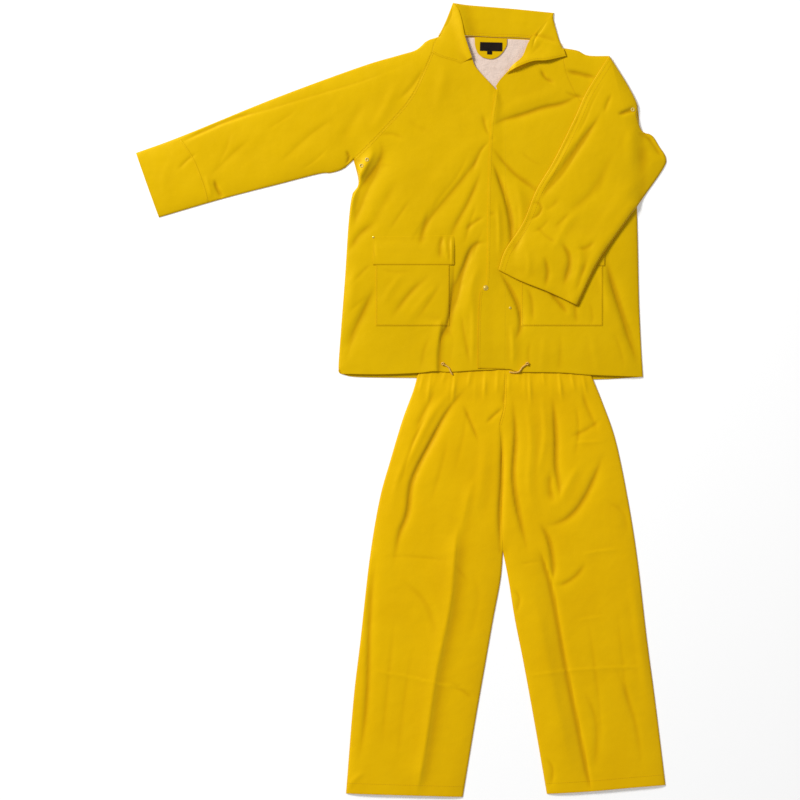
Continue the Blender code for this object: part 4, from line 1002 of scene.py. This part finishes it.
def plated(name, colour, metallic):
    """Pale brass of a press stud or lacquered eyelet, a little rubbed."""
    material, tree, shader = new_material(name)
    coords = node(tree, "ShaderNodeTexCoord").outputs["Object"]
    rubbed = mottle(tree, 400.0, 2.0, 0.0, 1.0, coords)
    dark = tuple(0.6 * c for c in colour)
    tree.links.new(blend_of(tree, rubbed, colour, dark), shader.inputs["Base Color"])
    tree.links.new(mottle(tree, 300.0, 2.0, 0.22, 0.38, coords), shader.inputs["Roughness"])
    shader.inputs["Metallic"].default_value = metallic
    return material


# The third colour of each coated cloth is its painted shade, laid on along seams and in hollows.
jacket_cloth = coated_cloth("jacket_coated_cloth", (0.740, 0.452, 0.0010), (0.790, 0.490, 0.0014),
                            (0.470, 0.200, 0.0005), 1)
trouser_cloth = coated_cloth("trouser_coated_cloth", (0.830, 0.480, 0.0010), (0.870, 0.520, 0.0014),
                             (0.520, 0.225, 0.0005), 2)
thread = coated_cloth("sewing_thread", (0.640, 0.360, 0.0020), (0.720, 0.430, 0.0040), (0.5, 0.25, 0.001), 3)
lining_cloth = woven("lining_cloth", (0.880, 0.700, 0.600), (0.780, 0.600, 0.500), 260.0, 0.75)
label_cloth = woven("label_cloth", (0.016, 0.010, 0.008), (0.007, 0.005, 0.004), 700.0, 0.9)
cord_yarn = woven("cord_yarn", (0.860, 0.520, 0.110), (0.680, 0.360, 0.060), 500.0, 0.85)
stud_metal = plated("stud_brass", (0.950, 0.680, 0.120), 0.35)
eyelet_metal = plated("eyelet_brass", (0.940, 0.700, 0.200), 0.0)


# Making pieces

def mesh_piece(name, points, faces, material, smooth_faces=True, seam=None):
    """A mesh object at the origin from arrays of points and four-sided faces."""
    mesh = bpy.data.meshes.new(name)
    mesh.vertices.add(len(points))
    mesh.vertices.foreach_set("co", np.ascontiguousarray(points, dtype=np.float32).ravel())
    mesh.loops.add(faces.size)
    mesh.loops.foreach_set("vertex_index", faces.astype(np.int32).ravel())
    mesh.polygons.add(len(faces))
    mesh.polygons.foreach_set("loop_start", (np.arange(len(faces)) * faces.shape[1]).astype(np.int32))
    mesh.update(calc_edges=True)
    mesh.polygons.foreach_set("use_smooth", np.full(len(faces), smooth_faces))
    # seam is each point's share of painted shade, which the coated cloths read.
    if seam is not None:
        attribute = mesh.attributes.new("seam", "FLOAT", "POINT")
        attribute.data.foreach_set("value", seam.astype(np.float32))
    mesh.validate()
    made = bpy.data.objects.new(name, mesh)
    bpy.context.scene.collection.objects.link(made)
    mesh.materials.append(material)
    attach(made, "root")
    return made


def grid_faces(rows, columns):
    """Four-sided faces of a grid of points, anticlockwise from above."""
    index = np.arange(rows * columns).reshape(rows, columns)
    return np.stack((index[:-1, :-1], index[:-1, 1:], index[1:, 1:], index[1:, :-1]), axis=-1).reshape(-1, 4)


def ring_faces(rings, sides):
    """Four-sided faces of a stack of closed rings of points."""
    ring, spot = np.meshgrid(np.arange(rings - 1), np.arange(sides), indexing="ij")
    after = (spot + 1) % sides
    return np.stack((ring * sides + spot, ring * sides + after, (ring + 1) * sides + after,
                     (ring + 1) * sides + spot), axis=-1).reshape(-1, 4)


def flat_size(grid, turn):
    """Width, length and area of a flat grid, measured across and along the direction turn."""
    c, s = np.cos(turn), np.sin(turn)
    p = grid.reshape(-1, 2)
    across, along = p[:, 0] * c + p[:, 1] * s, -p[:, 0] * s + p[:, 1] * c
    a, b = grid[1:, 1:] - grid[:-1, :-1], grid[1:, :-1] - grid[:-1, 1:]
    area = 0.5 * np.abs(a[..., 0] * b[..., 1] - a[..., 1] * b[..., 0]).sum()
    return (round(float(np.ptp(across)), 3), round(float(np.ptp(along)), 3)), float(area)


def give_wall(made, thickness):
    """The piece's upper face thickened downwards."""
    wall = made.modifiers.new("wall", "SOLIDIFY")
    wall.thickness = thickness
    wall.offset = -1.0


def cloth_piece(name, grid, top, material, slot, held="laid", rests_on=(), thickness=CLOTH, turn=0.0,
                replaced=None, dark=0.16, sewn=(True, True, True, True)):
    """A cut piece: its grid given the heights top, turned down a little at its sewn edges, with a wall's
    thickness below it, and it takes the place of its solid. dark is how much painted shade, in the deep
    colour, its sewn edges get."""
    rows, columns = grid.shape[:2]
    p = grid.reshape(-1, 2)
    z = top(p)
    ends = (grid[:1], grid[:, -1:], grid[-1:], grid[:, :1])
    away = [np.linalg.norm(grid - end, axis=2).ravel() for end in ends]
    for edge, is_sewn in zip(away, sewn):
        if is_sewn:
            z = z - hump(edge, SEWN_DROP, SEWN_WIDTH, point=1.5)
    sewing = [edge for edge, is_sewn in zip(away, sewn) if is_sewn]
    # Painted shade: the deep colour along the sewn edges, as much as dark says, and in the hollows of the
    # heights.
    edge_shade = dark(p) if callable(dark) else dark
    seam = hump(np.min(sewing, axis=0), edge_shade, SEWN_TONE_WIDTH, point=1.3)
    z = np.maximum(z, thickness)
    seam = np.maximum(seam, HOLLOW_TONE * hollows(z.reshape(rows, columns)).ravel())
    made = mesh_piece(name, np.column_stack((p, z)), grid_faces(rows, columns), material, seam=seam)
    give_wall(made, thickness)
    if replaced:
        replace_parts(made, *replaced)
    size, area = flat_size(grid, turn)
    area = min(area, size[0] * size[1])
    return made


def hollows(z):
    """0 to 1 as each point of a grid of heights lies up to HOLLOW_DEPTH below the mean about it, as its
    share of painted shade.
    """
    mean = z
    for _ in range(HOLLOW_REACH):
        wide = np.pad(mean, 1, mode="edge")
        wide = (wide[:-2] + wide[1:-1] + wide[2:]) / 3
        mean = (wide[:, :-2] + wide[:, 1:-1] + wide[:, 2:]) / 3
    return np.clip((mean - z) / HOLLOW_DEPTH, 0, 1)


def between(low, high, values):
    """A function of places that goes from one value to another as y on the sheet goes from low to high."""
    return lambda p: values[0] + (values[1] - values[0]) * rising(p, low, high)


def level(height):
    """A function of places that gives one height."""
    return lambda p: np.full(len(p), height)


def cap(name, centre, base, profile, material, slot, sides=28):
    """A turned piece: its profile of radii and heights carried round its middle."""
    angle = np.arange(sides) * (2 * np.pi / sides)
    r, z = np.array(profile).T
    x = centre[0] + r[:, None] * np.cos(angle)
    y = centre[1] + r[:, None] * np.sin(angle)
    points = np.stack((x, y, np.broadcast_to(base + z[:, None], x.shape)), axis=-1).reshape(-1, 3)
    made = mesh_piece(name, points, ring_faces(len(profile), sides), material)
    return made


def yarn(name, line, radius, sides=12):
    """A cord along a line of points in space: its section is a circle with lobes that turn as it goes, and
    closes in at both ends."""
    ahead = np.gradient(line, axis=0)
    ahead /= np.linalg.norm(ahead, axis=1)[:, None]
    aside = np.column_stack((-ahead[:, 1], ahead[:, 0], np.zeros(len(line))))
    aside /= np.maximum(np.linalg.norm(aside, axis=1), 1e-9)[:, None]
    up = np.cross(ahead, aside)
    far = length_along(line)
    angle = np.arange(sides) * (2 * np.pi / sides)
    lobes = LOBE_HEIGHT * np.cos(YARN_LOBES * (angle[None] - YARN_TWIST * far[:, None]))
    closing = np.minimum(1, np.sqrt(np.minimum(far, far[-1] - far) / radius + 0.02))
    r = radius * (1 + lobes) * closing[:, None]
    points = line[:, None] + r[..., None] * (np.cos(angle)[None, :, None] * aside[:, None]
                                             + np.sin(angle)[None, :, None] * up[:, None])
    made = mesh_piece(name, points.reshape(-1, 3), ring_faces(len(line), sides), cord_yarn)
    return made


def stitch_rows(name, rows, material, pitch=0.0042, length=0.0028, width=0.00050):
    """Sewing: along each row's line, a low rounded bar for each stitch, tapered at its two ends, a little
    above the heights of the cloth. A row is a line of places and the heights under it."""
    centres, aheads = [], []
    for line, top in rows:
        far = length_along(line)
        count = max(2, int(far[-1] / pitch))
        s = (np.arange(count) + 0.5) * far[-1] / count
        ends = [np.column_stack([np.interp(s + half, far, line[:, k]) for k in (0, 1)])
                for half in (-length / 2, length / 2)]
        a, b = (np.column_stack((end, top(end))) for end in ends)
        centres.append((a + b) / 2)
        aheads.append(b - a)
    centre, ahead = np.vstack(centres), np.vstack(aheads)
    across = np.column_stack((-ahead[:, 1], ahead[:, 0], np.zeros(len(ahead))))
    across *= (width / np.maximum(np.linalg.norm(across, axis=1), 1e-9))[:, None]
    t = np.array((-0.5, -0.36, 0.0, 0.36, 0.5))
    swell = np.array((0.15, 0.8, 1.0, 0.8, 0.15))
    rise = np.array((-0.6, 0.15, 0.5, 0.15, -0.6)) * width
    angle = np.arange(6) * (np.pi / 3)
    up = np.zeros((1, 1, 1, 3)) + (0, 0, width)
    points = (centre[:, None, None] + t[None, :, None, None] * ahead[:, None, None]
              + (swell[None, :, None, None] * np.cos(angle)[None, None, :, None]) * across[:, None, None]
              + swell[None, :, None, None] * 0.7 * np.sin(angle)[None, None, :, None] * up
              + rise[None, :, None, None] * np.array((0, 0, 1.0)))
    caps = np.array(((0, 5, 4, 3), (0, 3, 2, 1), (24, 25, 26, 27), (24, 27, 28, 29)))
    one = np.vstack((ring_faces(5, 6)[:, ::-1], caps))
    faces = (one[None] + 30 * np.arange(len(centre))[:, None, None]).reshape(-1, 4)
    made = mesh_piece(name, points.reshape(-1, 3), faces, material)
    return made


def aside(line, distance):
    """A line moved to its left by a distance."""
    ahead = np.gradient(line, axis=0)
    ahead /= np.linalg.norm(ahead, axis=1)[:, None]
    return line + distance * np.column_stack((-ahead[:, 1], ahead[:, 0]))


def welt(name, table, top, material, slot, width, lift):
    """A narrow raised band along a seam, its section half a flat wave, on the heights of the cloth, with
    painted shade along its two sides.
    """
    line = smooth(table)
    k = np.linspace(-1, 1, 7)
    grid = np.stack([aside(line, -q * width / 2) for q in k], axis=1)
    p = grid.reshape(-1, 2)
    far = length_along(line)
    ends = ease(np.minimum(far, far[-1] - far) / 0.006)
    dome = (np.cos(k * np.pi / 2)[None, :] ** 0.7 * ends[:, None]).ravel()
    z = top(p) - WELT_CLOTH + (lift + WELT_CLOTH) * dome
    # Painted shade: the deep colour grows towards the band's two sides, where it meets the cloth.
    seam = 0.5 * np.abs(np.tile(k, len(line))) ** 3
    made = mesh_piece(name, np.column_stack((p, z)), grid_faces(len(line), len(k)), material, seam=seam)
    give_wall(made, WELT_CLOTH)
    return made


# The camera, light and floor

lens = bpy.data.cameras.new("camera")
camera = bpy.data.objects.new("camera", lens)
bpy.context.scene.collection.objects.link(camera)
middle = place([(400, 400)])[0]
camera.location = (middle[0], middle[1], CAMERA_HEIGHT)
lens.sensor_width = FILM
lens.lens = FILM * CAMERA_HEIGHT / FRAME_WIDTH
lens.clip_end = 100
bpy.context.scene.camera = camera
# Plain display colours, so that the strong yellow keeps its strength.
bpy.context.scene.view_settings.view_transform = "Standard"


def soft_light(name, position, size, power):
    """A square soft light that faces the middle of the set."""
    data = bpy.data.lights.new(name, "AREA")
    data.shape = "SQUARE"
    data.size = size
    data.energy = power
    light = bpy.data.objects.new(name, data)
    bpy.context.scene.collection.objects.link(light)
    light.location = position
    light.rotation_euler = (-Vector(position)).to_track_quat("-Z", "Y").to_euler()


soft_light("key_light", position=(-5.4, 4.68, 5.26), size=2.3, power=798)
soft_light("fill_light", position=(6.4, -3.0, 8.8), size=6.0, power=90)

world = bpy.data.worlds.new("studio")
world.use_nodes = True
surround = world.node_tree.nodes["Background"]
surround.inputs["Color"].default_value = (1.0, 1.0, 1.0, 1.0)
surround.inputs["Strength"].default_value = 0.27
bpy.context.scene.world = world

floor_mesh = bpy.data.meshes.new("floor")
floor_corners = [(x * FLOOR_HALF, y * FLOOR_HALF, FLOOR_HEIGHT)
                 for x, y in ((-1, -1), (1, -1), (1, 1), (-1, 1))]
floor_mesh.from_pydata(floor_corners, [], [(0, 1, 2, 3)])
floor = bpy.data.objects.new("floor", floor_mesh)
bpy.context.scene.collection.objects.link(floor)
floor_finish, _, floor_shader = new_material("pale_floor")
floor_shader.inputs["Base Color"].default_value = (0.96, 0.96, 0.96, 1)
floor_shader.inputs["Emission Color"].default_value = (1.0, 1.0, 1.0, 1)
floor_shader.inputs["Emission Strength"].default_value = 0.20
floor_shader.inputs["Roughness"].default_value = 0.9
floor_mesh.materials.append(floor_finish)


# What a piece is made of: its finish and its slot
JACKET = (jacket_cloth, "jacket_cloth")
TROUSERS = (trouser_cloth, "trouser_cloth")
LABEL = (label_cloth, "label")

# Backs, which lie on the floor. Their folded sides lie a little inside those of the fronts.

back = fill([BACK_HEM], [SIDE_L[::-1], RAGLAN_L[::-1]], [NECK_SEAM],
            [SIDE_R[::-1], RAGLAN_R, COLLAR_SEAM_SIDE_R[::-1]], PLAIN_STEP, RIM, FOLDED_SIDES)
cloth_piece("back", back, back_top, *JACKET, rests_on=["floor"], replaced=["jacket_back"])
sleeve = ([SLEEVE_R_UNDER], [RAGLAN_R, COLLAR_SEAM_SIDE_R[::-1]], [SLEEVE_R_TOP[::-1]], [SLEEVE_R_CUFF[::-1]])
sleeve_back = fill(*sleeve, PLAIN_STEP, RIM, (EDGE_INSET, 0.0006, EDGE_INSET, 0))
cloth_piece("right_sleeve_back", sleeve_back, back_top, *JACKET, rests_on=["floor"], turn=0.38,
            replaced=["sleeve_right_back"])
head = ([[(635.2, 157.6), (636.4, 158)]], [HEAD_FOLD_L[::-1]], [SHOULDER_L], [RAGLAN_L[::-1]])
head_back = fill(*head, PLAIN_STEP / 2, RIM, (0, EDGE_INSET, 0.001, 0.0006))
cloth_piece("left_sleeve_head_back", head_back, back_top, *JACKET, rests_on=["floor"], turn=0.6,
            replaced=["sleeve_left_head_back"])
legs = {
    "right": ([LEG_HEM_R], [INSEAM_R[::-1], RISE[::-1]], [WAIST_SEAM_R], [OUTSEAM_R]),
    "left": ([LEG_HEM_L], [OUTSEAM_L], [WAIST_SEAM_L], [INSEAM_L[::-1], RISE[::-1]]),
}
for hand, sides in legs.items():
    cloth_piece(hand + "_leg_back", fill(*sides, PLAIN_STEP, RIM, FOLDED_SIDES), leg_back_top, *TROUSERS,
                rests_on=["floor"], replaced=["trouser_back_" + hand])
band_inset = (0.0005,) * 4
cloth_piece("waistband_inner", fill(*oblong(WAIST), PLAIN_STEP / 2, RIM, band_inset), leg_back_top, *TROUSERS,
            rests_on=["back"], replaced=["waistband_back"])
cloth_piece("waistband_outer", fill(*oblong(WAIST), STEP, RIM, band_inset), band_top, *TROUSERS,
            held="gathered", rests_on=["waistband_inner"], replaced=["waistband_front"])
collar_rear = fill([NECK_SEAM], [COLLAR_OUTER_L[::-1]], [COLLAR_TOP], [COLLAR_OUTER_R[::-1]], STEP,
                   inset=(0, 0.0015, 0, 0.0015))
cloth_piece("collar_rear", collar_rear, collar_back_top, *JACKET, held="folded", rests_on=["floor"],
            replaced=["collar_back"])


# The neck: lining, half-moon patch and blank labels

def lining_top(p):
    """Upper face of the neck's lining, in soft wrinkles over the back."""
    return LINING_HEIGHT + uneven(p, LINING_HILLS)


def label_top(p):
    """Upper face of the blank label, hardly wavy."""
    return LABEL_HEIGHT + uneven(p, LABEL_HILLS)


lining = fill([[(494.4, 97), (495.6, 97)]], [[(495.6, 97), (512, 82), (527, 62), (533, 40.4)]],
              [[(461, 37.4), (497, 38.8), (533, 40.4)]], [[(494.4, 97), (472, 70), (461, 37.4)]], STEP)
cloth_piece("neck_lining", lining, lining_top, lining_cloth, "lining", rests_on=["back"],
            thickness=LINING_CLOTH, dark=0.15, replaced=["back_lining"])
moon = fill([[(477.5, 53.5), (482.5, 57.6), (491, 59.4), (497.5, 57.4), (502.6, 53)]],
            [[(502.6, 53), (506.6, 46), (507, 39)]], [[(474.4, 37.4), (490, 38.3), (507, 39)]],
            [[(477.5, 53.5), (475, 46), (474.4, 37.4)]], 0.002)
cloth_piece("half_moon_patch", moon, level(MOON_HEIGHT), *JACKET, rests_on=["neck_lining"],
            thickness=PATCH_CLOTH, replaced=["neck_patch"])
neck_label = oblong([(480, 42.4), (502.2, 42.9), (502, 51.5), (479.8, 51)])
cloth_piece("blank_label", fill(*neck_label, 0.0015), label_top, *LABEL, rests_on=["half_moon_patch"],
            thickness=LABEL_CLOTH, dark=0.0, replaced=["neck_label"])
size_tab = oblong([(487, 51.4), (492, 51.6), (491.8, 54.8), (487, 54.6)])
cloth_piece("blank_size_tab", fill(*size_tab, 0.0012, RIM), level(LABEL_HEIGHT - 0.0002), *LABEL,
            thickness=LABEL_CLOTH, dark=0.0, replaced=["size_tab"])

# Fronts and right sleeve

front_right = fill([FRONT_R_HEM], [CENTRE_FRONT[::-1], FRONT_R_V[::-1]],
                   [COLLAR_SEAM_R, COLLAR_END_R], [SIDE_R[::-1], RAGLAN_R], STEP)
cloth_piece("right_front", front_right, right_front_top, *JACKET, rests_on=["back"],
            replaced=["jacket_front_right"])
front_left = fill([FRONT_L_HEM[1:]], [SIDE_L[::-1], RAGLAN_L[::-1]], [FRONT_L_NECK],
                  [STORM_SEAM, FRONT_L_V], STEP)
cloth_piece("left_front", front_left, body_layer, *JACKET, rests_on=["back"],
            replaced=["jacket_front_left"], sewn=(True, True, True, False))
storm = fill([STORM_HEM], [STORM_SEAM], [[(496, 90), (496.8, 89)]], [STORM_EDGE[::-1]], STEP * 0.8)
# Painted shade along the storm flap's free edge and hem: faint above the stud, heavier below it.
cloth_piece("storm_flap_face", storm, storm_top, *JACKET, rests_on=["right_front", "left_front"],
            replaced=["storm_flap"], sewn=(True, False, True, True), dark=between(280, 296, (0.14, 0.6)))
# Painted shade along the pockets' edges, and along their flaps' lower edges and right ends, heavier lower
# down.
flap_edge_shade = between(250, 262, (0.05, 0.45))
for hand, pocket, flap, front in (("right", POCKET_R, POCKET_FLAP_R, "right_front"),
                                  ("left", POCKET_L, POCKET_FLAP_L, "left_front")):
    cloth_piece(hand + "_pocket", fill(*oblong(pocket), STEP), pocket_top, *JACKET, rests_on=[front],
                thickness=POCKET_CLOTH, dark=0.3, replaced=["pocket_" + hand])
    cloth_piece(hand + "_pocket_flap", fill(*oblong(flap), STEP), pocket_flap_top, *JACKET,
                rests_on=[hand + "_pocket"], thickness=POCKET_CLOTH, dark=flap_edge_shade,
                sewn=(True, True, False, False), replaced=["pocket_flap_" + hand])
cloth_piece("right_sleeve_front", fill(*sleeve, STEP), body_layer, *JACKET, rests_on=["right_sleeve_back"],
            turn=0.38, replaced=["sleeve_right_front"])
cloth_piece("left_sleeve_head_front", fill(*head, STEP), body_layer, *JACKET,
            rests_on=["left_sleeve_head_back"], turn=0.6, replaced=["sleeve_left_head_front"])

# The swung sleeve and the collar's ends, over the fronts

arm = ([ARM_L_CUFF], [ARM_L_OUTER[::-1]], [[(608.4, 56.4), (609.6, 56.4)]], [ARM_L_INNER])
cloth_piece("left_sleeve_back", fill(*arm, PLAIN_STEP / 2, RIM, FOLDED_SIDES), arm_low_top, *JACKET,
            held="draped", rests_on=["left_front"], turn=-0.4, replaced=["sleeve_left_back"])
# The swung sleeve's edges get more painted shade, which dims the lit roll of its inner fold.
cloth_piece("left_sleeve_front", fill(*arm, STEP), arm_top, *JACKET, held="draped",
            rests_on=["left_sleeve_back"], turn=-0.4, replaced=["sleeve_left_front"], dark=0.35)
collar_r = fill([COLLAR_SEAM_R, COLLAR_END_R], [COLLAR_INNER_R[::-1]], [[(453, 3), (454, 3.4)]],
                [COLLAR_SEAM_SIDE_R[::-1], COLLAR_OUTER_R[::-1]], STEP * 0.8)
cloth_piece("collar_right_end", collar_r, collar_top_right, *JACKET, held="folded", rests_on=["collar_rear"],
            turn=0.3, replaced=["collar_right"])
collar_l = fill([COLLAR_LOWER_L], [COLLAR_TIP_L, COLLAR_OUTER_L[::-1]], [[(553, 13.3), (554, 13)]],
                [COLLAR_INNER_L[::-1]], STEP * 0.8)
cloth_piece("collar_left_end", collar_l, collar_top_left, *JACKET, held="folded", rests_on=["collar_rear"],
            turn=-0.5, replaced=["collar_left"])

# Trousers

for hand, sides in legs.items():
    cloth_piece(hand + "_leg_front", fill(*sides, STEP), leg_top, *TROUSERS, held="laid",
                rests_on=[hand + "_leg_back"], replaced=["trouser_front_" + hand])

# Seams and sewing

CUFF_SEAM_R = [(180, 139.5), (187, 149), (195, 163), (203, 184), (208, 202)]


def rows_along(table, top, *offsets):
    """Rows beside a line, each moved to its left by an offset in mm."""
    line = smooth(table)
    return [(aside(line, offset * MM), top) for offset in offsets]


def box_rows(corners, top, inset):
    """Rows round a straight-sided piece, inset squares inside its edges."""
    p = np.array(corners, float)
    centre = p.mean(axis=0)
    p = p - np.sign(p - centre) * inset
    pairs = [(p[i], p[(i + 1) % 4]) for i in range(4)]
    return [(smooth(pair), top) for pair in pairs]


jacket_rows = rows_along(RAGLAN_R, body_layer, 3.0, -3.0) + rows_along(CUFF_SEAM_R, body_layer, 1.5, -1.5)
jacket_rows += box_rows(POCKET_R, pocket_top, 1.2) + box_rows(POCKET_L, pocket_top, 1.2)
jacket_rows += rows_along(STORM_EDGE, storm_top, 5.0)
stitch_rows("jacket_sewing", jacket_rows, thread)
stitch_rows("sleeve_sewing", rows_along(ARM_L_INNER, arm_top, -6.0, -15.0), thread)
collar_rows = rows_along(NECK_SEAM, collar_back_top, 3.0, 7.0)
collar_rows += rows_along(COLLAR_LOWER_L, collar_top_left, 5.0)
collar_rows += rows_along(COLLAR_SEAM_R, collar_top_right, 4.0)
stitch_rows("collar_sewing", collar_rows, thread)
trouser_rows = rows_along(LEG_HEM_R, leg_top, 24.0) + rows_along(LEG_HEM_L, leg_top, 24.0)
trouser_rows += rows_along(RISE[1:4], leg_top, 2.5, -2.5)
stitch_rows("trouser_sewing", trouser_rows, thread)
welt("cuff_seam", CUFF_SEAM_R, body_layer, *JACKET, width=0.006, lift=0.0005)


# Studs, eyelets and cords. A profile is a list of radii and heights.

def on_cloth(x, y, top, radius):
    """A place on the sheet in metres, and the cloth's highest within radius of it."""
    centre = place([(x, y)])
    angle = np.arange(12) * (np.pi / 6)
    ring = np.vstack((centre, centre + radius * np.column_stack((np.cos(angle), np.sin(angle)))))
    return centre[0], float(top(ring).max())


STUD = ([(0.0060, -0.0012), (0.0060, 0.0002), (0.0056, 0.0007), (0.0049, 0.0007), (0.0046, 0.0004),
         (0.0043, 0.0008), (0.0036, 0.0016), (0.0024, 0.0021), (0.0011, 0.0023), (0.0001, 0.00235)],
        stud_metal, "stud")
SMALL_STUD = ([(0.0030, -0.0012), (0.0030, 0.0004), (0.0026, 0.0009), (0.0016, 0.0012), (0.0001, 0.0013)],
              stud_metal, "stud")
EYELET = ([(0.0044, -0.0010), (0.0045, 0.0001), (0.0042, 0.0007), (0.0034, 0.0010), (0.0026, 0.0007),
           (0.0021, 0.0000), (0.0019, -0.0012)], eyelet_metal, "eyelet")
RIVET = ([(0.0026, -0.0010), (0.0026, 0.0003), (0.0020, 0.0008), (0.0010, 0.0011), (0.0001, 0.0012)],
         stud_metal, "stud")
for name, x, y, top, kind, solid in (
        ("flap_stud", 485.6, 288, storm_top, STUD, "storm_stud"),
        ("small_stud", 510, 308, body_layer, SMALL_STUD, "front_stud"),
        ("underarm_eyelet_1", 361.5, 166, body_layer, EYELET, "vent_eyelet_1"),
        ("underarm_eyelet_2", 367, 160, body_layer, EYELET, "vent_eyelet_2"),
        ("underarm_eyelet_3", 632.5, 110, arm_top, EYELET, "vent_eyelet_3")):
    centre, base = on_cloth(x, y, top, 0.003)
    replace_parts(cap(name, centre, base, *kind), solid)
centre, base = on_cloth(373.4, 237.4, pocket_flap_top, 0.002)
cap("flap_rivet", centre, base, *RIVET)

# A cord bridges the hollows between the places about it, so it is evened out so many times.
CORD_BRIDGING = 30
CORD_SIDES = ((0, 0), (0.002, 0), (-0.002, 0), (0, 0.002), (0, -0.002))


def below_hem(p):
    """What a cord lies on: the jacket's fronts, and the trousers below their hem."""
    return np.where(inside(front_outline, p), body_layer(p), leg_top(p))


def cord_line(route):
    """A cord's middle line: its route, on the highest of the places about it, each height drawn towards the
    mean of its neighbours."""
    flat_line = smooth(route, CORD_STEP)
    bed = np.max([below_hem(flat_line + step) for step in CORD_SIDES], axis=0)
    for _ in range(CORD_BRIDGING):
        bed[1:-1] = np.maximum(bed[1:-1], 0) * 0.5 + 0.25 * (bed[:-2] + bed[2:])
    return np.column_stack((flat_line, bed + CORD_RADIUS + 0.0002))


def knot_line(line):
    """A knot past the cord's end: nearly two turns, with a radius and a height that waver as sines."""
    ending = line[-1] - line[-2]
    centre = line[-1, :2] + ending[:2] / np.linalg.norm(ending[:2]) * KNOT_RADIUS * 0.8
    angle = np.linspace(-0.3, 2 * np.pi * 1.9, 60)
    return np.column_stack((centre[0] + 0.0022 * np.cos(angle) * (1 + 0.2 * np.cos(2 * angle)),
                            centre[1] + 0.0024 * np.sin(angle),
                            line[-1, 2] + 0.0006 + 0.0011 * np.sin(1.6 * angle)))


for name, route, solid in (("right_hem_cord", HEM_CORD_R, "hem_cord_right"),
                           ("left_hem_cord", HEM_CORD_L, "hem_cord_left")):
    line = cord_line(route)
    piece = yarn(name, line, CORD_RADIUS)
    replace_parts(piece, solid)
    knot = yarn(name + "_knot", knot_line(line), KNOT_CORD_RADIUS)
    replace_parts(knot, solid + "_knot")
